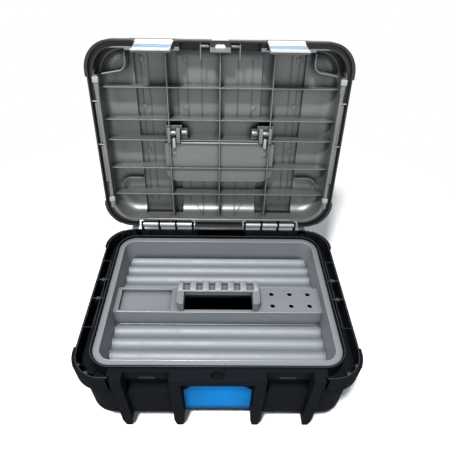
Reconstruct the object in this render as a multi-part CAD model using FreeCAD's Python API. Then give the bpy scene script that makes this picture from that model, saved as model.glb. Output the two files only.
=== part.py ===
import FreeCAD, Part
import math
import os

# Hard tool case, open: tub with a lift-out tray, hinged lid with carry handle, two swing latches.
# Millimetres. X runs across the case, Y from its front to its back, Z up from the feet.
# The lid and what it carries are drawn closed, then turned about the hinge to the open rest pose.

V = FreeCAD.Vector
X_AXIS = V(1, 0, 0)

# Overall sizes
CASE_HALF_WIDTH = 240.0
CASE_HALF_DEPTH = 182.0
RIM_HEIGHT = 168.0
CORNER_RADIUS = 52.0
WALL = 3.0
CUT_OVERRUN = 1.0
WELD = 0.5
SEAT_GAP = 0.3
OPEN_ANGLE = 102.35

# Tub body and its underside
BODY_SIDE_INSET = 7.0
BODY_END_INSET = 9.0
BODY_BOTTOM = 22.0
BODY_BOTTOM_RADIUS = 20.0
TUNNEL_RISE = 4.0
TUNNEL_HALF_WIDTH = 48.0
PANEL_SETBACK = 18.5
SIDE_CHANNEL_WIDTH = 24.8
END_CHANNEL_WIDTH = 24.5
COLLAR_RADIUS = 37.6
TONGUE_RISE = 2.8
LEDGE_DROP = 6.0
LEDGE_DEPTH = 6.0

# Rim band with its open channel
BAND_SETBACK = 4.4
BAND_HEIGHT = 32.0
BAND_END_INSET = 62.0
BOSS_RADIUS = 4.5
BOSS_DROP = 2.0
SIDE_RIB_PLACES = (31.5, -15.0)
CHANNEL_RIB = 1.8
CORNER_BOSS_INSET = 27.0
CORNER_BOSS_LONG_INSET = 53.0
BUMPER_STEP = 3.0
BUMPER_FRONT_LENGTH = 61.4
BUMPER_BACK_LENGTH = 56.6

# Legs, hasp block and latch ledges of the tub
LEG_WIDTH = 18.2
LEG_INNER_CENTRE = 69.4
LEG_OUTER_INSET = 76.6
LEG_FOOT_DEPTH = 46.0
LEG_SHOULDER = 12.0
FOOT_TAPER = 4.5
FOOT_TAPER_HEIGHT = 22.0
FOOT_RADIUS = 3.0
HASP_BLOCK_HEIGHT = 13.0
HASP_HOLE_LENGTH = 22.5
HASP_HOLE_WIDTH = 14.5
HASP_HOLE_SETBACK = 11.0
LATCH_LEDGE_SETBACK = 17.0
LATCH_LEDGE_HEIGHT = 23.0
LATCH_RECESS_DROP = 52.0
LATCH_RECESS_SETBACK = 24.0

# Sticker on the front of the tub
LABEL_LEG_GAP = 1.5
LABEL_RIM_GAP = 38.0
LABEL_LOW = 31.0
LABEL_CUT = 13.0
LABEL_THICKNESS = 0.4

# Hinges
HINGE_SETBACK = 2.6
HINGE_RISE = 12.8
HINGE_FIRST_LUG = 58.2
HINGE_LAST_LUG_INSET = 70.2
LUG_THICKNESS = 4.0
KNUCKLE_COUNT = 3
KNUCKLE_RADIUS = 6.5
KNUCKLE_LEAF = 4.0
LUG_GAP = 0.4
HINGE_PIN_RADIUS = 2.5
PIN_FIT = 0.05
HINGE_PIN_STICK_OUT = 2.5
HINGE_NOTCH_HEIGHT = 21.5
HINGE_NOTCH_SIDE = 4.0
HINGE_NOTCH_DEPTH = 14.0

# Lid shell
LID_SETBACK = 1.0
LID_HEIGHT = 48.0
LID_FLANGE_HEIGHT = 14.0
LID_EDGE_RADIUS = 13.0
LID_BAND_RISE = 6.0
LID_BAND_INNER = 77.0
LID_BAND_INSET = 75.0
TONGUE_CLEARANCE = 7.0
CORNER_POCKET_INSET = 13.0
LID_CAVITY_EDGE_RADIUS = 20.0
LID_RIB = 2.0
LID_RIB_EDGE = 15.0
LID_CROSS_RIBS = (-102.4, -43.4, -3.9, 53.6, 111.9)
LID_LONG_RIBS = (-99.0, 0.0, 99.0)
GROOVE_INSET = 3.0
GROOVE_WIDTH = 8.0
GROOVE_DEPTH = 8.0
STRIP_FRONT = -79.0
STRIP_BACK = 83.0
STRIP_WALL = 4.0
STRIP_DEPTH = 11.0

# Padlock recess at the front of the lid, with the tab as its floor
PADLOCK_HALF_WIDTH = 15.0
PADLOCK_SETBACK = 16.5
TAB_THICKNESS = 6.0
TAB_HOLE_LENGTH = 18.0
TAB_HOLE_WIDTH = 8.3
FRONT_HOLLOW_HALF_WIDTH = 72.0

# Carry handle in its recess in the top of the lid
RECESS_HALF_WIDTH = 104.0
RECESS_FRONT = -0.2
RECESS_BACK = 77.0
RECESS_DEPTH = 24.0
RECESS_RADIUS = 20.0
FORK_INNER = 78.0
FORK_OUTER = 103.0
FORK_FRONT = -28.0
HANDLE_PIVOT_PLACE = -17.4
HANDLE_PIVOT_DROP = 10.0
HANDLE_ARM_INNER = 85.6
HANDLE_ARM_OUTER = 96.6
HANDLE_ARM_RADIUS = 7.5
HANDLE_BAR_FRONT = 42.0
HANDLE_BAR_BACK = 66.0
HANDLE_BAR_THICKNESS = 19.0
HANDLE_BAR_RADIUS = 6.0
HANDLE_PIN_RADIUS = 3.0
HANDLE_PIN_INNER = 74.0
HANDLE_PIN_OUTER = 106.0

# Latches
LATCH_SIDE_GAP = 3.0
LATCH_NOTCH_LEG_GAP = 2.4
LATCH_NOTCH_SETBACK = 15.5
LATCH_NOTCH_HEIGHT = 27.0
LATCH_PIVOT_SETBACK = 4.5
LATCH_PIVOT_RISE = 12.0
LATCH_BARREL_RADIUS = 4.0
LATCH_THICKNESS = 3.0
LATCH_LENGTH = 56.0
LATCH_LIP_LENGTH = 7.0
LATCH_LIP_OUT = 3.0
LATCH_HOOK_DROP = 38.0
LATCH_HOOK_DEPTH = 2.4
LATCH_HOOK_THICKNESS = 3.0
LATCH_GROOVE_COUNT = 4
LATCH_GROOVE_DEPTH = 0.8
LATCH_GROOVE_WIDTH = 2.6
LATCH_REST_TILT = 12.0
LATCH_PIN_RADIUS = 1.75
LATCH_PIN_REACH = 5.0
CLIP_THICKNESS = 2.4
CLIP_RADIUS = 5.0

# Tray
TRAY_GAP = 0.6
TRAY_TOP_DROP = 2.0
TRAY_FLANGE_WIDTH = 10.6
TRAY_FLANGE_THICKNESS = 2.5
TRAY_DEPTH = 47.0
TRAY_WALL = 2.4
TRAY_DRAFT = 6.0
RIDGE_HEIGHT = 7.5
BACK_RIDGE_COUNT = 5
BACK_RIDGES_HIDDEN = 1.0
BACK_RIDGES_INSET = 23.9
FRONT_RIDGE_COUNT = 4
FRONT_RIDGES_GAP = 17.0
FRONT_RIDGES_INSET = 26.4
SPINE_FRONT = -33.0
SPINE_BACK = 27.0
SPINE_RISE = 30.0
SPINE_SLOPE = 7.0
POCKET_END_INSET = 21.6
POCKET_HANDLE_GAP = 12.5
POCKET_DEPTH = 9.0
POCKET_RIM = 4.5
DRIVER_HOLE_RADIUS = 4.8
DRIVER_HOLE_HANDLE_GAP = 26.2
DRIVER_HOLE_END_INSET = 35.6
DRIVER_HOLE_ROWS = (11.0, -17.5)

# Tray handle
TRAY_HANDLE_HALF_LENGTH = 78.5
TRAY_HANDLE_FRONT = -30.0
TRAY_HANDLE_BACK = 25.0
TRAY_GRIP_FRONT = 1.0
TRAY_HANDLE_RISE = 21.0
TRAY_GRIP_THICKNESS = 12.0
TRAY_LEG_WIDTH = 13.0
TRAY_HANDLE_RADIUS = 8.0
FINGER_SLOT_FRONT = -27.0
FINGER_SLOT_BACK = 16.0
GRIP_POCKET_COUNT = 6
GRIP_POCKET_PITCH = 24.2
GRIP_POCKET_WIDTH = 12.0
GRIP_POCKET_DEPTH = 4.0
GRIP_POCKET_RIM = 4.0

# Places worked out from the sizes above
CASE_FRONT = -CASE_HALF_DEPTH
CASE_BACK = CASE_HALF_DEPTH
BODY_HALF_WIDTH = CASE_HALF_WIDTH - BODY_SIDE_INSET
BODY_HALF_DEPTH = CASE_HALF_DEPTH - BODY_END_INSET
BODY_CORNER_RADIUS = CORNER_RADIUS - BODY_SIDE_INSET
COLLAR_HALF_WIDTH = CASE_HALF_WIDTH - SIDE_CHANNEL_WIDTH
COLLAR_HALF_DEPTH = CASE_HALF_DEPTH - END_CHANNEL_WIDTH
CHANNEL_LOW = RIM_HEIGHT - BAND_HEIGHT
PANEL_PLACE = CASE_FRONT + PANEL_SETBACK
BAND_FRONT = CASE_FRONT + BAND_SETBACK
BAND_END = CASE_HALF_WIDTH - BAND_END_INSET
BUMPER_FRONT_END = CASE_FRONT + BUMPER_FRONT_LENGTH
BUMPER_BACK_END = CASE_BACK - BUMPER_BACK_LENGTH
LEG_CENTRES = (LEG_INNER_CENTRE, CASE_HALF_WIDTH - LEG_OUTER_INSET)
HASP_HOLE_PLACE = CASE_FRONT + HASP_HOLE_SETBACK
LATCH_LEDGE_FRONT = CASE_FRONT + LATCH_LEDGE_SETBACK
LATCH_RECESS_BACK = CASE_FRONT + LATCH_RECESS_SETBACK
LATCH_RECESS_LOW = RIM_HEIGHT - LATCH_RECESS_DROP
LABEL_RIGHT = LEG_INNER_CENTRE - LEG_WIDTH / 2 - LABEL_LEG_GAP
LABEL_LEFT = -LABEL_RIGHT
HINGE_LAST_LUG = CASE_HALF_WIDTH - HINGE_LAST_LUG_INSET
HINGE_CENTRE = (HINGE_FIRST_LUG + HINGE_LAST_LUG) / 2
KNUCKLE_PITCH = (HINGE_LAST_LUG - HINGE_FIRST_LUG) / KNUCKLE_COUNT
KNUCKLE_LENGTH = KNUCKLE_PITCH - LUG_THICKNESS - 2 * LUG_GAP
LID_FRONT = CASE_FRONT + LID_SETBACK
LID_BAND_OUTER = CASE_HALF_WIDTH - LID_BAND_INSET
LID_CAVITY_HALF_WIDTH = COLLAR_HALF_WIDTH + TONGUE_CLEARANCE
LID_CAVITY_FRONT = -COLLAR_HALF_DEPTH - TONGUE_CLEARANCE
LID_CAVITY_BACK = COLLAR_HALF_DEPTH + TONGUE_CLEARANCE
LID_CAVITY_RADIUS = COLLAR_RADIUS + TONGUE_CLEARANCE
STRIP_INNER = LID_CAVITY_HALF_WIDTH + STRIP_WALL
STRIP_OUTER = CASE_HALF_WIDTH - STRIP_WALL
PADLOCK_BACK = CASE_FRONT + PADLOCK_SETBACK
LATCH_CENTRE = (LEG_CENTRES[0] + LEG_CENTRES[1]) / 2
LATCH_NOTCH_WIDTH = LEG_CENTRES[1] - LEG_CENTRES[0] - LEG_WIDTH - 2 * LATCH_NOTCH_LEG_GAP
LATCH_NOTCH_BACK = CASE_FRONT + LATCH_NOTCH_SETBACK
LATCH_WIDTH = LATCH_NOTCH_WIDTH - 2 * LATCH_SIDE_GAP
LATCH_PIVOT_PLACE = CASE_FRONT + LATCH_PIVOT_SETBACK
TRAY_HALF_WIDTH = COLLAR_HALF_WIDTH - WALL - TRAY_GAP
TRAY_HALF_DEPTH = COLLAR_HALF_DEPTH - WALL - TRAY_GAP
TRAY_RADIUS = COLLAR_RADIUS - WALL - TRAY_GAP
BACK_RIDGES_START = SPINE_BACK - BACK_RIDGES_HIDDEN
BACK_RIDGES_END = TRAY_HALF_DEPTH - BACK_RIDGES_INSET
FRONT_RIDGES_START = SPINE_FRONT - FRONT_RIDGES_GAP
FRONT_RIDGES_END = -TRAY_HALF_DEPTH + FRONT_RIDGES_INSET
POCKET_LEFT = -TRAY_HALF_WIDTH + POCKET_END_INSET
POCKET_RIGHT = -TRAY_HANDLE_HALF_LENGTH - POCKET_HANDLE_GAP
DRIVER_HOLE_FIRST = TRAY_HANDLE_HALF_LENGTH + DRIVER_HOLE_HANDLE_GAP
DRIVER_HOLE_LAST = TRAY_HALF_WIDTH - DRIVER_HOLE_END_INSET
DRIVER_HOLE_COLUMNS = (DRIVER_HOLE_FIRST, (DRIVER_HOLE_FIRST + DRIVER_HOLE_LAST) / 2, DRIVER_HOLE_LAST)
HINGE_Y = CASE_BACK + HINGE_SETBACK
HINGE_Z = RIM_HEIGHT + HINGE_RISE
LID_BASE = RIM_HEIGHT + SEAT_GAP
LID_TOP = LID_BASE + LID_HEIGHT
HANDLE_PIVOT_Z = LID_TOP - HANDLE_PIVOT_DROP
LATCH_PIVOT_Z = RIM_HEIGHT + LATCH_PIVOT_RISE
TRAY_TOP = RIM_HEIGHT - TRAY_TOP_DROP
TRAY_FLOOR = TRAY_TOP - TRAY_DEPTH
SPINE_TOP = TRAY_FLOOR + SPINE_RISE
TUNNEL_TOP = BODY_BOTTOM + TUNNEL_RISE


def block(x0, x1, y0, y1, z0, z1):
    """A box between two corners."""
    return Part.makeBox(x1 - x0, y1 - y0, z1 - z0, V(x0, y0, z0))


def rod(x0, x1, y, z, radius):
    """A round bar along X."""
    return Part.makeCylinder(radius, x1 - x0, V(x0, y, z), X_AXIS)


def post(x, y, z0, z1, radius):
    """A round bar along Z."""
    return Part.makeCylinder(radius, z1 - z0, V(x, y, z0))


def slab(x0, x1, y0, y1, z0, z1, radius):
    """A box with rounded upright edges."""
    body = block(x0, x1, y0, y1, z0, z1)
    upright = [e for e in body.Edges if abs(e.tangentAt(e.FirstParameter).z) > math.cos(1)]
    return body.makeFillet(radius, upright)


def level_edges(body, z):
    """The edges of a body that lie at one height."""
    found = []
    for edge in body.Edges:
        box = edge.BoundBox
        if abs(box.ZMin - z) < SEAT_GAP and abs(box.ZMax - z) < SEAT_GAP:
            found.append(edge)
    return found


def fused(shapes):
    """One solid made of several that touch or overlap."""
    body = shapes[0].multiFuse(shapes[1:]) if len(shapes) > 1 else shapes[0]
    return body.removeSplitter()


def both_sides(shape):
    """A shape and its mirror image across the middle of the case."""
    return [shape, shape.mirror(V(0, 0, 0), X_AXIS)]


def sides(x0, x1, y0, y1, z0, z1):
    """A box on the right and its mirror image on the left."""
    return both_sides(block(x0, x1, y0, y1, z0, z1))


def outline_x(points, x0, x1):
    """A solid with an outline of (y, z) points, running along X."""
    wire = Part.makePolygon([V(x0, y, z) for y, z in points + points[:1]])
    return Part.Face(wire).extrude(V(x1 - x0, 0, 0))


def outline_y(points, y0, y1):
    """A solid with an outline of (x, z) points, running along Y."""
    wire = Part.makePolygon([V(x, y0, z) for x, z in points + points[:1]])
    return Part.Face(wire).extrude(V(0, y1 - y0, 0))


def oval(x, y, z0, z1, length, width):
    """An upright oval bar with its long side along X."""
    reach = (length - width) / 2
    ends = [post(x + side * reach, y, z0, z1, width / 2) for side in (-1, 1)]
    return fused(ends + [block(x - reach, x + reach, y - width / 2, y + width / 2, z0, z1)])


def tunnel(grow):
    """The raised middle of the underside, as the space it leaves below, grown by a wall."""
    top = TUNNEL_TOP + grow
    half = TUNNEL_HALF_WIDTH + grow / 2
    low = half + TUNNEL_RISE + CUT_OVERRUN
    base = TUNNEL_TOP - TUNNEL_RISE - CUT_OVERRUN
    points = [(-low, base), (low, base), (half, top), (-half, top)]
    return outline_y(points, CASE_FRONT, CASE_BACK)


def tub_bowl(inset, z_top):
    """The tub's body as a plain solid, drawn in by a wall."""
    width = BODY_HALF_WIDTH - inset
    depth = BODY_HALF_DEPTH - inset
    low = BODY_BOTTOM + inset
    body = slab(-width, width, -depth, depth, low, z_top, BODY_CORNER_RADIUS - inset)
    body = body.makeFillet(BODY_BOTTOM_RADIUS - inset, level_edges(body, low))
    half = LEG_CENTRES[0] - LEG_WIDTH / 2 + inset
    panel = block(-half, half, CASE_FRONT - BUMPER_STEP, PANEL_PLACE + inset, 0, z_top)
    return body.cut(tunnel(inset)).cut(panel)


def collar(inset, z_low, z_high):
    """The inner collar of the rim as a plain solid, drawn in by a wall."""
    width = COLLAR_HALF_WIDTH - inset
    depth = COLLAR_HALF_DEPTH - inset
    return slab(-width, width, -depth, depth, z_low, z_high, COLLAR_RADIUS - inset)


def rim_band():
    """The rim's outer band with bumpers at its corners, before its channel is cut."""
    low = RIM_HEIGHT - BAND_HEIGHT
    half = CASE_HALF_WIDTH
    band = slab(-half, half, BAND_FRONT, CASE_BACK, low, RIM_HEIGHT, CORNER_RADIUS)
    wide = half + BUMPER_STEP
    fat = slab(-wide, wide, BAND_FRONT - BUMPER_STEP, CASE_BACK, low, RIM_HEIGHT, CORNER_RADIUS)
    past = wide + CUT_OVERRUN
    reach = CASE_HALF_WIDTH - CORNER_RADIUS / 2
    front = sides(BAND_END, past, CASE_FRONT, BUMPER_FRONT_END, low, RIM_HEIGHT)
    back = sides(reach, past, BUMPER_BACK_END, CASE_BACK, low, RIM_HEIGHT)
    return fused([band] + [fat.common(corner) for corner in front + back])


def rim_channel():
    """The open channel between the tongue and the rim's outer wall."""
    low = CHANNEL_LOW + WALL
    top = RIM_HEIGHT + CUT_OVERRUN
    half = CASE_HALF_WIDTH - WALL
    outer = slab(-half, half, BAND_FRONT + WALL, CASE_BACK - WALL, low, top, CORNER_RADIUS - WALL)
    middle = block(-BAND_END, BAND_END, CASE_FRONT, 0, low, top)
    return outer.cut(collar(0, low, top)).cut(middle)


def channel_details():
    """Cross ribs and round bosses that stand in the rim channel."""
    low = CHANNEL_LOW + WALL / 2
    top = RIM_HEIGHT - BOSS_DROP
    inner = COLLAR_HALF_WIDTH - WELD
    outer = CASE_HALF_WIDTH - WALL / 2
    middle = (inner + outer) / 2
    details = []
    for y in SIDE_RIB_PLACES:
        details += sides(inner, outer, y, y + CHANNEL_RIB, low, top)
        details += both_sides(post(middle, y + CHANNEL_RIB / 2, low, top, BOSS_RADIUS))
    near = CASE_HALF_WIDTH - CORNER_BOSS_INSET
    far = CASE_HALF_WIDTH - CORNER_BOSS_LONG_INSET
    edge = CASE_BACK - BOSS_RADIUS - 2 * WALL
    for x in (near, far):
        details += both_sides(post(x, edge, low, top, BOSS_RADIUS))
        details += sides(x, x + CHANNEL_RIB, COLLAR_HALF_DEPTH - WELD, CASE_BACK - WALL / 2, low, top)
    front = BAND_FRONT + BOSS_RADIUS + 2 * WALL
    details += both_sides(post(near, front, low, top, BOSS_RADIUS))
    corner = -COLLAR_HALF_DEPTH + BOSS_RADIUS
    details += both_sides(post(outer - 2 * BOSS_RADIUS, corner, low, top, BOSS_RADIUS))
    return details


def leg(centre, outer_y, facing):
    """One leg, from the rim down the wall and under the body to its foot."""
    x0 = centre - LEG_WIDTH / 2
    x1 = centre + LEG_WIDTH / 2
    wall_y = facing * (BODY_HALF_DEPTH - WELD)
    back_y = outer_y - facing * LEG_FOOT_DEPTH
    shoulder = BODY_BOTTOM + LEG_SHOULDER
    body = block(x0, x1, min(outer_y, wall_y), max(outer_y, wall_y), 0, RIM_HEIGHT)
    foot = block(x0, x1, min(outer_y, back_y), max(outer_y, back_y), 0, shoulder)
    body = fused([body, foot])
    for side in (-1, 1):
        x = centre + side * LEG_WIDTH / 2
        wedge = [(x - side * FOOT_TAPER, 0), (x, FOOT_TAPER_HEIGHT), (x + side * CUT_OVERRUN, 0)]
        body = body.cut(outline_y(wedge, CASE_FRONT - CUT_OVERRUN, CASE_BACK + CUT_OVERRUN))
    bottom = [e for e in level_edges(body, 0) if e.BoundBox.XLength > e.BoundBox.YLength]
    return body.makeFillet(FOOT_RADIUS, bottom)


def hinge_lugs():
    """The tub's lugs, one at each side of every knuckle, on the back edge of the rim."""
    thickness = KNUCKLE_PITCH - KNUCKLE_LENGTH - 2 * LUG_GAP
    root = HINGE_Y - KNUCKLE_RADIUS
    low = RIM_HEIGHT - BAND_HEIGHT
    lugs = []
    for step in range(KNUCKLE_COUNT + 1):
        middle = HINGE_CENTRE + (step - KNUCKLE_COUNT / 2) * KNUCKLE_PITCH
        x0 = middle - thickness / 2
        x1 = middle + thickness / 2
        ear = rod(x0, x1, HINGE_Y, HINGE_Z, KNUCKLE_RADIUS)
        slope = [(root, RIM_HEIGHT - WALL), (CASE_BACK - WALL, low), (CASE_BACK + WELD, low),
                 (HINGE_Y + KNUCKLE_RADIUS, HINGE_Z), (root, HINGE_Z)]
        lug = fused([ear, outline_x(slope, x0, x1)])
        lug = lug.cut(rod(x0 - CUT_OVERRUN, x1 + CUT_OVERRUN, HINGE_Y, HINGE_Z, HINGE_PIN_RADIUS))
        lugs += both_sides(lug)
    return lugs


def tray_ledge():
    """The step round the inside of the tub that the tray's flange rests on."""
    low = TRAY_TOP - TRAY_FLANGE_THICKNESS - LEDGE_DEPTH
    top = TRAY_TOP - TRAY_FLANGE_THICKNESS
    outer = collar(WALL - WELD, low, top)
    return outer.cut(collar(WALL + LEDGE_DROP, low - CUT_OVERRUN, top + CUT_OVERRUN))


def latch_recesses():
    """The recesses that the latches swing into, deeper under the ledge that their hooks catch."""
    first = LEG_CENTRES[0] + LEG_WIDTH / 2
    last = LEG_CENTRES[1] - LEG_WIDTH / 2
    front = CASE_FRONT - CUT_OVERRUN
    mouths = sides(first, last, front, LATCH_LEDGE_FRONT, LATCH_RECESS_LOW, RIM_HEIGHT + CUT_OVERRUN)
    return mouths + sides(first, last, front, LATCH_RECESS_BACK, LATCH_RECESS_LOW,
                          RIM_HEIGHT - LATCH_LEDGE_HEIGHT)


def tub_inside():
    """The tub's inner space, with the opening through its collar."""
    low = tub_bowl(WALL, CHANNEL_LOW)
    for wall in sides(LEG_CENTRES[0], LEG_CENTRES[1], CASE_FRONT, LATCH_RECESS_BACK + WALL,
                      LATCH_RECESS_LOW - WALL, CHANNEL_LOW):
        low = low.cut(wall)
    return [low, collar(WALL, CHANNEL_LOW - CUT_OVERRUN, RIM_HEIGHT + TONGUE_RISE + CUT_OVERRUN)]


def base_tub():
    """The tub: body, rim, legs, hasp block, latch recesses and hinge lugs in one moulding."""
    body = fused([tub_bowl(0, RIM_HEIGHT), collar(0, CHANNEL_LOW, RIM_HEIGHT + TONGUE_RISE)])
    legs = []
    for centre in LEG_CENTRES:
        legs += both_sides(leg(centre, CASE_FRONT, -1))
        legs += both_sides(leg(centre, CASE_BACK, 1))
    first = LEG_CENTRES[0] - WELD
    hasp = block(-first, first, CASE_FRONT, -COLLAR_HALF_DEPTH + WELD,
                 RIM_HEIGHT - HASP_BLOCK_HEIGHT, RIM_HEIGHT)
    front_low = CHANNEL_LOW - CUT_OVERRUN
    band = rim_band()
    band = band.cut(block(-BAND_END, BAND_END, CASE_FRONT - BUMPER_STEP, -COLLAR_HALF_DEPTH,
                          front_low, RIM_HEIGHT + CUT_OVERRUN))
    body = fused([body, band]).cut(rim_channel())
    body = fused([body, hasp] + legs + channel_details())
    for space in tub_inside() + latch_recesses():
        body = body.cut(space)
    low = RIM_HEIGHT - HASP_BLOCK_HEIGHT - CUT_OVERRUN
    body = body.cut(oval(0, HASP_HOLE_PLACE, low, RIM_HEIGHT + CUT_OVERRUN,
                         HASP_HOLE_LENGTH, HASP_HOLE_WIDTH))
    return fused([body, tray_ledge()] + hinge_lugs())


def front_label():
    """The plain sticker with cut upper corners on the tub's front wall."""
    high = RIM_HEIGHT - HASP_BLOCK_HEIGHT - LABEL_RIM_GAP
    points = [(LABEL_LEFT, LABEL_LOW), (LABEL_RIGHT, LABEL_LOW), (LABEL_RIGHT, high - LABEL_CUT),
              (LABEL_RIGHT - LABEL_CUT, high), (LABEL_LEFT + LABEL_CUT, high),
              (LABEL_LEFT, high - LABEL_CUT)]
    return outline_y(points, PANEL_PLACE - LABEL_THICKNESS, PANEL_PLACE)


def knuckle_middles():
    """The middles along X of the right hinge's knuckles."""
    first = HINGE_CENTRE - (KNUCKLE_COUNT - 1) / 2 * KNUCKLE_PITCH
    return [first + step * KNUCKLE_PITCH for step in range(KNUCKLE_COUNT)]


def knuckle(middle):
    """One bright knuckle, screwed into the lid's back wall, that turns on the hinge pin."""
    x0 = middle - KNUCKLE_LENGTH / 2
    x1 = middle + KNUCKLE_LENGTH / 2
    barrel = rod(x0, x1, HINGE_Y, HINGE_Z, KNUCKLE_RADIUS)
    notch_y = CASE_BACK - HINGE_NOTCH_DEPTH
    notch_z = LID_BASE + HINGE_NOTCH_HEIGHT
    leaf = block(x0, x1, notch_y, HINGE_Y, notch_z - 2 * KNUCKLE_LEAF, notch_z)
    body = fused([barrel, leaf])
    bore = rod(x0 - CUT_OVERRUN, x1 + CUT_OVERRUN, HINGE_Y, HINGE_Z, HINGE_PIN_RADIUS + PIN_FIT)
    return body.cut(bore)


def hinge_pin(side):
    """The steel pin through one hinge, held in the tub's lugs."""
    reach = (KNUCKLE_COUNT + 1) * KNUCKLE_PITCH / 2 - KNUCKLE_LENGTH / 2 + HINGE_PIN_STICK_OUT
    return rod(side * HINGE_CENTRE - reach, side * HINGE_CENTRE + reach,
               HINGE_Y, HINGE_Z, HINGE_PIN_RADIUS)


def lid_outside():
    """The lid as a plain solid: flange, rounded top, two raised bands and corner bumpers."""
    half = CASE_HALF_WIDTH
    flange_top = LID_BASE + LID_FLANGE_HEIGHT
    flange = slab(-half, half, LID_FRONT, CASE_BACK, LID_BASE, flange_top, CORNER_RADIUS)
    inner = LID_CAVITY_HALF_WIDTH + WALL
    body = slab(-inner, inner, LID_CAVITY_FRONT - WALL, LID_CAVITY_BACK + WALL,
                LID_BASE, LID_TOP, LID_CAVITY_RADIUS + WALL)
    body = body.makeFillet(LID_EDGE_RADIUS, level_edges(body, LID_TOP))
    wide = slab(-half, half, LID_FRONT, CASE_BACK, LID_BASE, LID_TOP, CORNER_RADIUS)
    wide = wide.makeFillet(LID_EDGE_RADIUS, level_edges(wide, LID_TOP))
    centre = wide.common(block(-LID_BAND_INNER, LID_BAND_INNER, LID_FRONT, 0, LID_BASE, LID_TOP))
    high = LID_TOP + LID_BAND_RISE
    tall = slab(-half, half, LID_FRONT, CASE_BACK, LID_BASE, high, CORNER_RADIUS)
    tall = tall.makeFillet(LID_EDGE_RADIUS, level_edges(tall, high))
    bands = [tall.common(b) for b in sides(LID_BAND_INNER, LID_BAND_OUTER,
                                           LID_FRONT, CASE_BACK, LID_BASE, high)]
    return fused([flange, body, centre] + bands + lid_bumpers())


def lid_bumpers():
    """The lid's four corner bumpers, a little wider than its flange."""
    wide = CASE_HALF_WIDTH + BUMPER_STEP
    top = LID_BASE + BAND_HEIGHT
    fat = slab(-wide, wide, LID_FRONT, CASE_BACK, LID_BASE, top, CORNER_RADIUS)
    inner = LID_CAVITY_HALF_WIDTH
    fat = fat.cut(slab(-inner, inner, LID_CAVITY_FRONT, LID_CAVITY_BACK, LID_BASE, top,
                       LID_CAVITY_RADIUS))
    past = wide + CUT_OVERRUN
    reach = CASE_HALF_WIDTH - CORNER_RADIUS / 2
    corners = sides(LID_BAND_OUTER - WELD, past, LID_FRONT, BUMPER_FRONT_END, LID_BASE, top)
    corners += sides(reach, past, BUMPER_BACK_END, CASE_BACK, LID_BASE, top)
    return [fat.common(corner) for corner in corners]


def lid_hollow():
    """The space inside the lid, deeper and longer under the raised bands."""
    half = LID_CAVITY_HALF_WIDTH
    front = LID_CAVITY_FRONT
    back = LID_CAVITY_BACK
    low = LID_BASE - CUT_OVERRUN
    top = LID_TOP - WALL
    high = top + LID_BAND_RISE
    body = slab(-half, half, front, back, low, top, LID_CAVITY_RADIUS)
    body = body.makeFillet(LID_CAVITY_EDGE_RADIUS, level_edges(body, top))
    step = LID_BASE + LATCH_NOTCH_HEIGHT + WALL
    long_front = LID_FRONT + WALL
    long_back = CASE_BACK - WALL
    tall = slab(-half, half, long_front, long_back, step, high, LID_CAVITY_RADIUS)
    tall = tall.makeFillet(LID_EDGE_RADIUS - WALL, level_edges(tall, high))
    inner = LID_BAND_INNER + WALL
    outer = LID_BAND_OUTER - WALL
    bands = [tall.common(b) for b in sides(inner, outer, long_front, long_back, step, high)]
    centre = block(-FRONT_HOLLOW_HALF_WIDTH, FRONT_HOLLOW_HALF_WIDTH, long_front,
                   front + CUT_OVERRUN, low, LID_TOP - LID_EDGE_RADIUS)
    return fused([body, centre] + bands + corner_pockets())


def corner_pockets():
    """The spaces inside the lid's two front bumpers, open to the rest of the lid's hollow."""
    low = LID_BASE - CUT_OVERRUN
    top = LID_BASE + BAND_HEIGHT - WALL
    half = CASE_HALF_WIDTH - CORNER_POCKET_INSET
    front = LID_FRONT + CORNER_POCKET_INSET
    space = slab(-half, half, front, -front, low, top, CORNER_RADIUS - CORNER_POCKET_INSET)
    corners = sides(LID_BAND_OUTER + WALL, half, front, BUMPER_FRONT_END - WALL, low, top)
    return [space.common(corner) for corner in corners]


def lid_ribs():
    """The lattice of thin ribs inside the lid."""
    low = LID_BASE + LID_RIB_EDGE
    high = LID_TOP + LID_BAND_RISE
    half = LID_CAVITY_HALF_WIDTH + WELD
    ribs = []
    for y in LID_CROSS_RIBS:
        ribs.append(block(-half, half, y, y + LID_RIB, low, high))
    for x in LID_LONG_RIBS:
        ribs.append(block(x - LID_RIB / 2, x + LID_RIB / 2, LID_CAVITY_FRONT - WELD,
                          LID_CAVITY_BACK + WELD, low, high))
    return ribs


def recess_space(grow):
    """The carry handle's recess with the two fork slots, grown sideways by a wall."""
    low = LID_TOP - RECESS_DEPTH
    high = LID_TOP + LID_BAND_RISE + CUT_OVERRUN
    half = RECESS_HALF_WIDTH + grow
    main = slab(-half, half, RECESS_FRONT - grow, RECESS_BACK + grow, low, high,
                RECESS_RADIUS + grow)
    square = block(-half, half, RECESS_FRONT - grow, RECESS_BACK / 2, low, high)
    forks = sides(FORK_INNER - grow, FORK_OUTER + grow, FORK_FRONT - grow, RECESS_BACK / 2,
                  low, high)
    return fused([main, square] + forks)


def lid_groove():
    """The groove that runs round the lid's rim band, stopped at the padlock's tab."""
    half = CASE_HALF_WIDTH - GROOVE_INSET
    back = CASE_BACK - GROOVE_INSET
    front = LID_FRONT + GROOVE_INSET
    low = LID_BASE - CUT_OVERRUN
    top = LID_BASE + GROOVE_DEPTH
    radius = CORNER_RADIUS - GROOVE_INSET
    outer = slab(-half, half, front, back, low, top, radius)
    inner_half = half - GROOVE_WIDTH
    inner = slab(-inner_half, inner_half, front + GROOVE_WIDTH, back - GROOVE_WIDTH,
                 low, top, radius - GROOVE_WIDTH)
    tab = PADLOCK_HALF_WIDTH + WALL
    return outer.cut(inner).cut(block(-tab, tab, front - CUT_OVERRUN, 0, low, top))


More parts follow.
